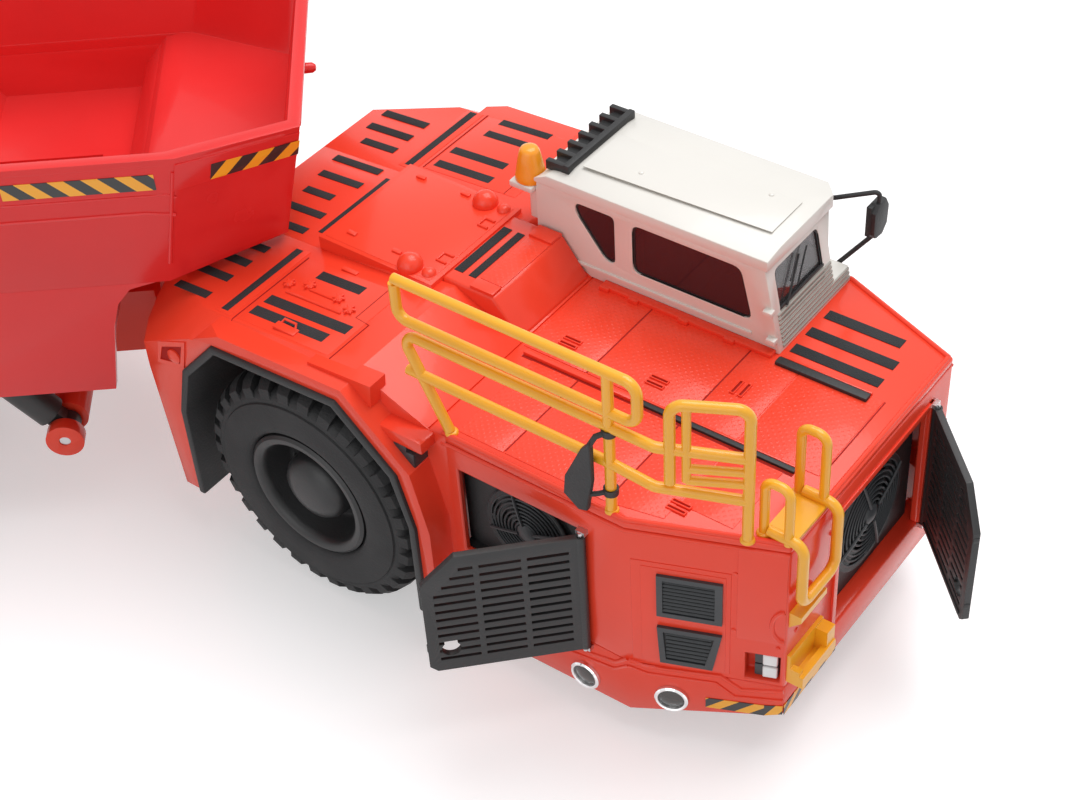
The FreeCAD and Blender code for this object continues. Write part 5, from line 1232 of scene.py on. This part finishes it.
    def _lamps(self, side: str, sign: int) -> None:
        """Turn the round lamps' rims and lenses.

        Args:
            side: The side's name.
            sign: -1 for the right side, 1 for the left.
        """
        flat = Matrix.Translation((self.bend_lamp[0], sign * 29.2, self.bend_lamp[1])) @ Matrix.Rotation(
            math.radians(90 * -sign), 4, "X")
        tapered = self._seat(sign) @ Matrix.Translation((self.nose_lamp[0], 0,
                                                         self.nose_lamp[1])) @ Matrix.Rotation(
            math.radians(-90), 4, "X")
        rims = Form(f"round_lamp_rims_{side}")
        lenses = Form(f"round_lamp_lenses_{side}")
        rim = [(0.05, 1.8), (0.05, 2.4), (0.5, 2.37), (0.7, 2.15), (0.6, 1.88), (0.3, 1.8)]
        for seat in (flat, tapered):
            rims.lathe(rim, seat, 40)
            lenses.lathe([(0.42, 0), (0.4, 0.7), (0.3, 1.4), (0.14, 1.82), (0.03, 1.82), (0.03, 0)], seat, 32)
        rims.done(self.layout.front, Paints.CHROME, "front", "chrome_ring",
                  ("round_lamps",) if sign < 0 else ())
        self.front(lenses, Paints.SMOKE, "window")

    def _hazard(self, side: str, sign: int) -> None:
        """Stick the hazard bars along the bumper's corner.

        Args:
            side: The side's name.
            sign: -1 for the right side, 1 for the left.
        """
        form = Form(f"nose_hazard_{side}")
        proud, pitch, slant = 0.02, 4.0, 1.3
        for corners in (((10.7, 7.9), (18.7, 8.2), (18.7, 10.3), (10.7, 9.8)),
                        ((18.7, 8.2), (21.2, 9.1), (21.2, 10.8), (18.7, 10.3))):
            form.band([(s, proud, z) for s, z in corners], (0, 1, 0), pitch, slant)
        form.done(self.layout.front @ self._seat(sign), Paints.BARS, "front", "yellow_paint")

    def _front(self) -> None:
        """Dress the front: the hazard bars below the ladder and the door's frame."""
        bars = Form("front_hazard")
        x = self.tip[0] + 0.02
        bars.band([(x, -21.3, 8.9), (x, -7.6, 9.0), (x, -7.6, 11.0), (x, -21.3, 10.9)], (1, 0, 0), 3.6, -1.3)
        self.front(bars, Paints.BARS, "yellow_paint")
        frame = Form("mouth_frame")
        x = self.tip[0]
        for y0, z0, y1, z1 in ((-9.6, 36.9, 16.2, 37.9), (15.1, 14.8, 16.2, 37.9), (-9.6, 14.8, -8.6, 37.9)):
            frame.bar((x - 0.1, y0, z0), (x + 0.3, y1, z1), 0.1)
        for y, z in ((-19.0, 35.0), (-19.0, 24.0), (-10.8, 35.0), (18.6, 34.0), (18.6, 20.0)):
            frame.lathe([(0.0, 0), (0.0, 0.4), (0.15, 0.36), (0.24, 0.15), (0.24, 0)],
                        Matrix.Translation((x, y, z)) @ Matrix.Rotation(math.radians(90), 4, "Y"), 10)
        self.front(frame, Paints.RED, "red_paint")


@dataclass
class Fans(Dressing):
    """Wire guards, blades and hubs in front of the two radiators."""

    side_seat: Point = (36.5, -26.8, 28.35)
    front_seat: Point = (71.2, 3.25, 25.8)
    repeat: Repeater = field(default_factory=Repeater)

    def build(self) -> None:
        """Build both fans."""
        side = Matrix.Translation(self.side_seat) @ Matrix.Rotation(math.radians(90), 4, "X")
        front = Matrix.Translation(self.front_seat) @ Matrix.Rotation(math.radians(90), 4, "Y")
        self._fan("side_fan", side, 6.9)
        self._fan("front_fan", front, 8.9)

    def _fan(self, name: str, seat: Matrix, reach: float) -> None:
        """Bend the guard's wires and set the blades behind them.

        Args:
            name: The fan's name.
            seat: Its middle, with Z out of the truck.
            reach: The guard's radius.
        """
        guard = Form(f"{name}_guard")
        rings = 9
        for i in range(rings):
            radius = reach * (0.26 + 0.74 * i / (rings - 1))
            height = 0.95 - 0.5 * (radius / reach) ** 2
            wire = [(height + 0.17 * math.cos(t), radius + 0.17 * math.sin(t))
                    for t in full_turn(6)]
            guard.lathe(wire, Matrix.Identity(4), 44)
        for k in range(4):
            turn = math.radians(20 + 90 * k)
            path = [(radius * math.cos(turn), radius * math.sin(turn),
                     0.95 - 0.5 * (radius / reach) ** 2 + 0.2)
                    for radius in (reach * s for s in (0.2, 0.45, 0.7, 1.0))]
            guard.pipe(path, 0.24, 6)
        hub = [(1.35, 0), (1.3, 0.9), (1.05, 1.5), (0.6, 1.75), (0.3, 1.75), (0.3, 0)]
        guard.lathe(hub, Matrix.Identity(4), 24)
        guard.done(self.layout.front @ seat, Paints.GREY, "front", "black_plastic")
        blade = Form(f"{name}_blades")
        corners = [(reach * 0.24, -0.5, 0.35), (reach * 0.92, -1.5, 0.1), (reach * 0.95, 1.0, 0.45),
                   (reach * 0.24, 0.5, 0.1)]
        blade.plate(corners, (0, 0, 0.12))
        data = self.repeat.run(blade, 8, turn=(0, 0, math.pi / 4))
        carried(f"{name}_blades", data, self.layout.front @ seat, Paints.BLACK, "front")


@dataclass
class Cab(Dressing):
    """Window gaskets, corner fillets, ribs, knobs and the driver's place."""

    right: float = 9.0
    left: float = 28.5
    low: float = 45.7
    high: float = 54.0
    toe: float = 53.5
    lean: float = (53.5 - 50.8) / (55.2 - 41.6)

    def build(self) -> None:
        """Dress the cab."""
        self._windows()
        self._roof()
        self._front()
        self._inside()

    def _opening(self, corners: Sequence[Flat], cut: float) -> list[Flat]:
        """The rounded outline of a window.

        Args:
            corners: Its corners, in order.
            cut: The rounding's radius.

        Returns:
            Points round the opening, five to a corner.
        """
        points = []
        count = len(corners)
        for i in range(count):
            here = Vector(corners[i])
            back = (Vector(corners[i - 1]) - here).normalized()
            ahead = (Vector(corners[(i + 1) % count]) - here).normalized()
            start, end = here + back * cut, here + ahead * cut
            for k in range(5):
                t = k / 4
                points.append(tuple(start * (1 - t) ** 2 + here * 2 * t * (1 - t) + end * t ** 2))
        return points

    def _windows(self) -> None:
        """Fill the openings' corners with cab paint, and line them with a black gasket."""
        side = [(29.2, self.low), (49.0, self.low), (47.0, self.high), (29.2, self.high)]
        quarter = [(24.6, self.low), (26.2, self.low), (26.2, self.high), (19.5, self.high),
                   (19.5, self.high - 1.6)]
        fillets, gaskets = Form("cab_window_corners"), Form("cab_window_gaskets")
        for y0, out in ((self.right + 0.05, -1), (self.left - 0.05, 1)):
            for corners, cut in ((side, 1.3), (quarter, 0.9)):
                sharp = self._opening(corners, 0.02)
                round_ = self._opening(corners, cut)
                inner = self._inset(round_, corners)
                depth = (0, -out * 1.0, 0)
                fillets.ring([(x, y0, z) for x, z in sharp], [(x, y0, z) for x, z in round_], depth)
                gaskets.ring([(x, y0 - out * 0.22, z) for x, z in round_],
                             [(x, y0 - out * 0.22, z) for x, z in inner], (0, -out * 0.5, 0))
        screen = [(11.0, self.low), (22.4, self.low), (22.4, self.high), (11.0, self.high)]
        sharp, round_ = self._opening(screen, 0.02), self._opening(screen, 1.1)
        inner = self._inset(round_, screen)
        fillets.ring([self._screen(y, z, 0.05) for y, z in sharp],
                     [self._screen(y, z, 0.05) for y, z in round_], (-1.0, 0, 0))
        gaskets.ring([self._screen(y, z, 0.2) for y, z in round_],
                     [self._screen(y, z, 0.2) for y, z in inner], (-0.4, 0, 0))
        self.front(fillets, Paints.CREAM, "beige_paint")
        self.front(gaskets, Paints.BLACK, "black_plastic")

    def _inset(self, outline: Sequence[Flat], corners: Sequence[Flat], lip: float = 0.34) -> list[Flat]:
        """An outline moved a lip's width towards the middle of an opening."""
        middle = Vector(self._middle(corners))
        return [tuple(Vector(p) + (middle - Vector(p)).normalized() * lip) for p in outline]

    @staticmethod
    def _middle(corners: Sequence[Flat]) -> Flat:
        """The middle of some corners."""
        return (sum(a for a, _ in corners) / len(corners), sum(b for _, b in corners) / len(corners))

    def _screen(self, y: float, z: float, depth: float) -> Point:
        """A point on the leaning front wall, a little behind its face."""
        return (self.toe - (z - 41.6) * self.lean - depth, y, z)

    def _roof(self) -> None:
        """Raise the roof's middle panel and dot its studs."""
        panel = Form("roof_panel")
        z = 57.9
        panel.plate([(18.6, 12.4, z), (49.0, 13.6, z), (49.0, 21.6, z), (18.6, 21.6, z)], (0, 0, 0.06), 0.05)
        for x, y in ((26.6, 15.4), (44.6, 20.7)):
            panel.lathe([(0.0, 0), (0.0, 0.42), (0.16, 0.36), (0.26, 0.18), (0.28, 0)],
                        Matrix.Translation((x, y, z + 0.04)), 14)
        self.front(panel, Paints.CREAM, "beige_paint")

    def _front(self) -> None:
        """Rib the wall below the windscreen, and set the hinge knobs."""
        ribs = Form("cab_front_ribs")
        for i in range(8):
            z = 42.1 + 0.7 * i
            x = self.toe - (z - 41.6) * self.lean
            ribs.bar((x - 0.35, self.right + 1.1, z), (x + 0.16, 28.3 if z < 43.6 else 24.2, z + 0.4), 0.08)
        ribs.plate([self._screen(y, z, 0.4) for y,
                    z in ((10.2, 45.4), (23.2, 45.4), (23.2, 47.7), (10.2, 47.7))],
                   (0.36, 0, 0), 0.05)
        self.front(ribs, Paints.STONE, "beige_paint")
        knobs = Form("cab_hinge_knobs")
        for x, z in ((52.3, 48.5), (52.9, 43.8)):
            knobs.bar((x - 1.3, 8.1, z - 0.45), (x + 0.2, 9.3, z + 0.45), 0.25)
        knobs.bar((13.0, 8.7, 43.2), (49.0, 9.1, 43.7), 0.12)
        self.front(knobs, Paints.CREAM, "beige_paint")
        ledge = Form("cab_ledge")
        ledge.bar((24.5, 7.5, 41.6), (53.0, 9.0, 42.3), 0.2)
        for x in (24.6, 29.6, 38.0, 45.6):
            ledge.bar((x, 7.0, 41.7), (x + 1.6, 7.6, 42.4), 0.12)
        self.front(ledge, Paints.RED, "red_paint")

    def _inside(self) -> None:
        """Furnish the cab: a dashboard, a wheel, levers and a wiper."""
        desk = Form("cab_dashboard")
        desk.bar((44.5, 11.0, 41.7), (50.2, 24.0, 45.3), 0.5)
        desk.bar((38.0, 22.5, 41.7), (45.0, 26.6, 45.0), 0.4)
        desk.pipe([(44.8, 17.5, 44.8), (42.2, 17.5, 47.0)], 0.4, 8)
        turn = Matrix.Translation((42.0, 17.5, 47.2)) @ Matrix.Rotation(math.radians(-48), 4, "Y")
        wire = [(0.28 * math.cos(t), 2.5 + 0.28 * math.sin(t)) for t in full_turn(8)]
        desk.lathe(wire, turn, 28)
        desk.pipe([(turn @ Vector((-2.4, 0, 0)))[:], (turn @ Vector((2.4, 0, 0)))[:]], 0.22, 6)
        desk.pipe([(36.0, 13.0, 45.2), (36.6, 13.0, 48.6)], 0.25, 6)
        self.front(desk, Paints.BLACK, "black_plastic")
        wiper = Form("cab_wiper")
        wiper.pipe([self._screen(12.4, 47.6, -0.15), self._screen(17.0, 53.0, -0.1)], 0.16, 6)
        wiper.bar(self._screen(10.9, 47.7, 0.3), self._screen(22.5, 48.05, -0.1))
        wiper.pipe([self._screen(15.6, 49.2, -0.2), self._screen(19.0, 53.2, -0.18)], 0.13, 6)
        self.front(wiper, Paints.BLACK, "black_plastic")


@dataclass
class Lights(Dressing):
    """The beacon on its shelf."""


    def build(self) -> None:
        """Build the beacon's lens and its bulb."""
        seat = Matrix.Translation((10.8, 10.4, 54.2))
        Form("beacon_lens").lathe(
            [(5.38, 0), (5.34, 0.75), (5.12, 1.25), (4.6, 1.52), (3.0, 1.85), (1.0, 2.2), (0.6, 2.28),
             (0.1, 2.28),
             (0.0, 2.2), (0.0, 0)],
            seat, 40).done(self.layout.front, Paints.AMBER, "front", "amber_lens", ("beacon",), 60.0)
        bulb = Form("beacon_bulb")
        bulb.lathe([(3.6, 0), (3.5, 0.5), (3.0, 0.8), (0.4, 0.9), (0.4, 0)], seat, 16)
        self.front(bulb, Paints.YELLOW, "amber_lens")


@dataclass
class Box(Dressing):
    """The dump box's rim lip, top bands, creases and hazard bars."""

    rim: float = 68.2
    high_plan: tuple = ((-117.0, 34.0), (-1.6, 34.0), (15.3, 28.5))
    low_plan: tuple = ((-117.0, 33.0), (-6.0, 33.0), (10.5, 23.5))
    waist: float = 46.6
    band_low: float = 62.7
    band_high: float = 67.2
    band_thick: float = 0.25
    band_proud: float = 0.17

    def build(self) -> None:
        """Dress the box."""
        self._rim()
        self._details()
        self._bars()

    def _rim(self) -> None:
        """Run the rounded lip along the top of the walls."""
        form = Form("box_rim")
        z = self.rim - 0.985
        half = [(-116.6, 33.0), (-3.4, 33.0), (-1.0, 32.7), (12.4, 28.4), (13.9, 27.5), (14.3, 26.0)]
        path = [(u, -v, z) for u, v in half] + [(u, v, z) for u, v in reversed(half)]
        form.pipe(path, 0.98, 14)
        form.done(self.layout.rear, Paints.RED_BOX, "box", "red_paint", (), 60.0)

    def _outside(self, z: float) -> list[Flat]:
        """The right half of the outer plan at a height, from the tail to the front."""
        t = (z - self.waist) / (self.rim - self.waist)
        return [(u0 + (u1 - u0) * t, -(v0 + (v1 - v0) * t))
                for (u0, v0), (u1, v1) in zip(self.low_plan, self.high_plan)]

    @staticmethod
    def _out(start: Vector, end: Vector, sign: int) -> Vector:
        """The level direction out of a wall that runs from start to end."""
        along = (end - start).normalized()
        return Vector((along.y * -sign, along.x * sign, 0))

    def _details(self) -> None:
        """Raise the top bands, the creases and the knob on the front wall."""
        form = Form("box_bands")
        for sign in (-1, 1):
            for z, reach, size in ((59.2, -7.2, 0.26), (62.2, -3.6, 0.16)):
                u, v = self._outside(z)[1]
                form.pipe([(-88.0, -sign * v, z), (reach, -sign * v, z), (u + 0.4, -sign * v, z - 0.6)],
                          size, 8)
            low, high = self._outside(50.0), self._outside(66.0)
            form.pipe([(low[1][0] - 0.1, -sign * low[1][1], 50.0),
                       (high[1][0] - 0.1, -sign * high[1][1], 66.0)],
                      0.3, 8)
            low, high = self._outside(self.band_low), self._outside(self.band_high)
            corners = [Vector((u, -sign * v, z)) for (u, v), z in (
                (low[1], self.band_low), (low[2], self.band_low), (high[2], self.band_high),
                (high[1], self.band_high))]
            form.plate([tuple(c) for c in corners],
                       tuple(self._out(corners[0], corners[1], sign) * self.band_thick),
                       0.1)
        form.lathe([(0.0, 0), (0.0, 0.85), (1.5, 0.8), (2.0, 0.45), (2.1, 0)],
                   Matrix.Translation((14.0, -4.0, 62.0)) @ Matrix.Rotation(math.radians(90), 4, "Y"), 18)
        form.done(self.layout.rear, Paints.RED_BOX, "box", "red_paint")

    def _bars(self) -> None:
        """Stick the hazard bars on the sides and the cut corners."""
        form = Form("box_hazard")
        low_z, high_z = 63.2, 65.8
        start, end, film = -26.0, -4.9, 0.03
        pitch, inset = 4.6, 5.2
        for sign in (-1, 1):
            low = [Vector((u, -sign * v, low_z)) for u, v in self._outside(low_z)]
            high = [Vector((u, -sign * v, high_z)) for u, v in self._outside(high_z)]
            foot, head = low[1].y + film * sign, high[1].y + film * sign
            form.band([(start, foot, low_z), (end, foot, low_z), (end, head, high_z), (start, head, high_z)],
                      (0, sign, 0), pitch, -sign)
            along = (low[2] - low[1]).normalized()
            normal = self._out(low[1], low[2], sign)
            proud = normal * (self.band_thick + self.band_proud)
            a, b = low[1] + along * inset + proud, low[2] + proud
            c, d = high[2] + proud, high[1] + along * inset + proud
            form.band([tuple(a), tuple(b), tuple(c), tuple(d)], tuple(normal), pitch, sign)
        form.done(self.layout.rear, Paints.BARS, "box", "yellow_paint")


@dataclass
class Trim(Dressing):
    """Small castings and fittings round the front unit and the rails."""


    def build(self) -> None:
        """Set every small piece."""
        self._lobes()
        self._mirror()
        self._rails()
        self._pegs()

    def _lobes(self) -> None:
        """Cast the fender's front lobe, the ledge below it and the lamp it shelters."""
        lobes, lamps = Form("fender_lobes"), Form("arch_lamps")
        for sign in (-1, 1):
            y0, y1 = sorted((sign * 28.4, sign * 31.6))
            lobes.plate([(3.4, y0, 44.0), (14.4, y0, 43.4), (14.7, y0, 47.2), (3.4, y0, 46.35)],
                        (0, y1 - y0, 0), 0.0)
            y0, y1 = sorted((sign * 28.8, sign * 32.2))
            lobes.bar((13.9, y0, 39.4), (23.2, y1, 41.5), 0.45)
            lamps.bar((17.3, y0, 36.0), (21.6, y1, 38.7), 0.35)
            lamps.bar((18.2, y0, 38.2), (20.4, y1, 39.6), 0.2)
        self.front(lobes, Paints.RED, "red_paint")
        self.front(lamps, Paints.GREY, "grey_plastic")

    def _mirror(self) -> None:
        """Hang the right mirror from the handrail's post, and give the left one its shell."""
        shell = Form("mirror_left_shell")
        outline = [(29.4, 50.0), (30.2, 48.9), (32.0, 48.7), (33.3, 50.0), (33.5, 53.0), (32.6, 54.6),
                   (30.4, 54.7),
                   (29.4, 53.6)]
        shell.plate([(55.0, y, z) for y, z in outline], (1.25, 0, 0), 0.35)
        self.front(shell, Paints.BLACK, "black_plastic")
        form = Form("mirror_right")
        outline = [(49.9, 54.4), (49.9, 47.6), (49.0, 42.0), (47.7, 41.6), (45.4, 43.4), (45.7, 46.6),
                   (48.4, 52.6)]
        form.plate([(x, -29.7, z) for x, z in outline], (0, -0.8, 0), 0.25)
        form.pipe([(51.3, -28.4, 55.4), (50.2, -29.6, 55.0), (49.5, -30.1, 53.4)], 0.4, 8)
        form.pipe([(51.3, -28.4, 45.2), (50.2, -29.4, 45.0), (49.2, -30.0, 44.8)], 0.35, 8)
        for z in (55.4, 45.2):
            form.lathe([(-0.5, 0.8), (-0.5, 1.02), (0.5, 1.02), (0.5, 0.8)],
                       Matrix.Translation((51.3, -28.2, z)), 18)
        self.front(form, Paints.BLACK, "black_plastic")

    def _rails(self) -> None:
        """Seat every post of the rails on a round foot."""
        form = Form("rail_feet")
        for x, y in ((51.3, -28.2), (68.4, -23.2), (25.2, -28.1), (69.4, -21.0), (69.4, -12.5)):
            form.lathe([(0.0, 0), (0.0, 1.0), (0.22, 0.98), (0.4, 0.86), (0.48, 0.7), (0.48, 0)],
                       Matrix.Translation((x, y, 41.6)), 20)
        self.front(form, Paints.YELLOW, "yellow_paint")

    def _pegs(self) -> None:
        """Set the pegs at the free edges of the two grille doors."""
        for name, (x, y, z), turn, width, heights in (
            ("side_door", (47.4, -30.1, 14.5), -135.0, 21.4, (4.4, 15.6)),
            ("front_door", (74.5, 15.9, 14.6), -46.0, 19.6, (3.6, 16.4)),
        ):
            seat = Matrix.Translation((x, y, z)) @ Matrix.Rotation(math.radians(turn), 4, "Z")
            form = Form(f"{name}_pegs")
            for height in heights:
                form.bar((width - 0.6, -0.45, height - 0.45), (width + 0.1, 0.45, height + 0.45), 0.15)
            form.bar((1.0, -0.75, 0.6), (width - 1.4, -0.45, 1.2), 0.1)
            form.done(self.layout.front @ seat, Paints.DOOR, name, "grey_plastic")


@dataclass
class Studio(Dressing):
    """A pale floor, soft lamps and the camera."""

    focal: float = 1969.0
    frame_wide: float = 1073.0
    azimuth: float = 39.11
    elevation: float = 42.25
    roll: float = -4.06
    eye: Point = (155.3, -169.7, 220.7)
    sensor: float = 36.0
    floor_half: float = 3.0
    floor_drop: float = 0.00005
    floor_colour: Point = (0.70, 0.70, 0.71)
    floor_glow: float = 0.43
    room: float = 0.42
    softboxes: tuple = (("key_softbox", (0.12, 0.32, 0.95), 8.6), ("fill_softbox", (0.20, -0.90, 0.45), 2.3))
    softbox_size: float = 0.8
    aim: Point = (0, 0, 0.02)

    def build(self) -> None:
        """Set the stage, the lamps and the camera."""
        self._floor()
        self._lamps()
        self._world()
        self._camera()
        bpy.context.scene.view_settings.view_transform = "Standard"

    def _floor(self) -> None:
        """Lay the floor, which keeps the model's shadow and reads as white."""
        mesh = bpy.data.meshes.new("studio_floor")
        half = self.floor_half
        mesh.from_pydata([(-half, -half, 0), (half, -half, 0), (half, half, 0), (-half, half, 0)], [],
                         [(0, 1, 2, 3)])
        floor = bpy.data.objects.new("studio_floor", mesh)
        bpy.context.scene.collection.objects.link(floor)
        floor.location.z = -self.floor_drop
        made = bpy.data.materials.new("pale_floor")
        made.use_nodes = True
        tree = made.node_tree
        shader = tree.nodes["Principled BSDF"]
        shader.inputs["Base Color"].default_value = (*self.floor_colour, 1)
        shader.inputs["Roughness"].default_value = 0.3
        glow = add(tree, "ShaderNodeEmission", {"Color": (1, 1, 1, 1), "Strength": self.floor_glow})
        lit = add(tree, "ShaderNodeAddShader", {0: shader.outputs["BSDF"], 1: glow.outputs["Emission"]})
        mix = add(tree, "ShaderNodeMixShader", {
            "Fac": self._seen(tree), 1: shader.outputs["BSDF"], 2: lit.outputs["Shader"]})
        tree.links.new(mix.outputs["Shader"], tree.nodes["Material Output"].inputs["Surface"])
        mesh.materials.append(made)

    @staticmethod
    def _seen(tree: Tree) -> Socket:
        """One where a ray comes from the camera, a mirror or through glass.

        Args:
            tree: The node tree.

        Returns:
            The socket with the highest of the three.
        """
        path = add(tree, "ShaderNodeLightPath").outputs
        first = add(tree, "ShaderNodeMath", {0: path["Is Camera Ray"], 1: path["Is Glossy Ray"]},
                    operation="MAXIMUM")
        return add(tree, "ShaderNodeMath", {0: first.outputs[0], 1: path["Is Transmission Ray"]},
                   operation="MAXIMUM").outputs[0]

    def _lamps(self) -> None:
        """Hang one wide soft box above and behind, and a weaker one in front."""
        for name, place, power in self.softboxes:
            lamp = bpy.data.lights.new(name, "AREA")
            lamp.shape = "SQUARE"
            lamp.size = self.softbox_size
            lamp.energy = power
            item = bpy.data.objects.new(name, lamp)
            bpy.context.scene.collection.objects.link(item)
            item.location = place
            item.rotation_euler = (Vector(self.aim) - Vector(place)).to_track_quat("-Z", "Y").to_euler()

    def _world(self) -> None:
        """Light the room evenly, and show it white to the camera and to gloss."""
        world = bpy.data.worlds.new("studio_room")
        bpy.context.scene.world = world
        world.use_nodes = True
        tree = world.node_tree
        tree.nodes.clear()
        room = add(tree, "ShaderNodeBackground", {"Color": (1, 1, 1, 1), "Strength": self.room})
        seen = add(tree, "ShaderNodeBackground", {"Color": (1, 1, 1, 1), "Strength": 1.0})
        mix = add(tree, "ShaderNodeMixShader", {
            "Fac": self._seen(tree), 1: room.outputs["Background"], 2: seen.outputs["Background"]})
        add(tree, "ShaderNodeOutputWorld", {"Surface": mix.outputs["Shader"]})

    def _camera(self) -> None:
        """Stand the camera at the viewing angle."""
        a, e, roll = (math.radians(v) for v in (self.azimuth, self.elevation, self.roll))
        back = Vector((math.sin(a) * math.cos(e), -math.cos(a) * math.cos(e), math.sin(e)))
        right = Vector((math.cos(a), math.sin(a), 0))
        up = back.cross(right)
        across = right * math.cos(roll) + up * math.sin(roll)
        upward = -right * math.sin(roll) + up * math.cos(roll)
        turn = Matrix((across, upward, back)).transposed().to_4x4()
        lens = bpy.data.cameras.new("studio_camera")
        lens.sensor_width = self.sensor
        lens.lens = self.sensor * self.focal / self.frame_wide
        lens.clip_start = 0.01
        camera = bpy.data.objects.new("studio_camera", lens)
        bpy.context.scene.collection.objects.link(camera)
        camera.matrix_world = Matrix.Translation(self.layout.front @ Vector(self.eye)) @ turn
        bpy.context.scene.camera = camera


def dress_nodes(frame: dict) -> None:
    """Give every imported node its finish.
    """
    for paint, names in DRESS.items():
        finish: Finish = getattr(Paints, paint)
        for name in names:
            item = frame["nodes"].get(name)
            if item is None:
                log.warning("no node %s", name)
                continue
            item.data.materials.clear()
            item.data.materials.append(finish.material())
            log.info("%s wears %s", name, finish.name)


def main() -> None:
    """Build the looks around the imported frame."""
    logging.basicConfig(level=logging.INFO, format="%(message)s")
    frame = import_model()
    layout = Layout(frame)
    Studio(layout).build()
    dress_nodes(frame)
    Coats(frame).build()
    for part in (Fenders, Deck, Wheels, Nose, Fans, Cab, Lights, Box, Trim):
        part(layout).build()


if __name__ == "__main__":
    main()
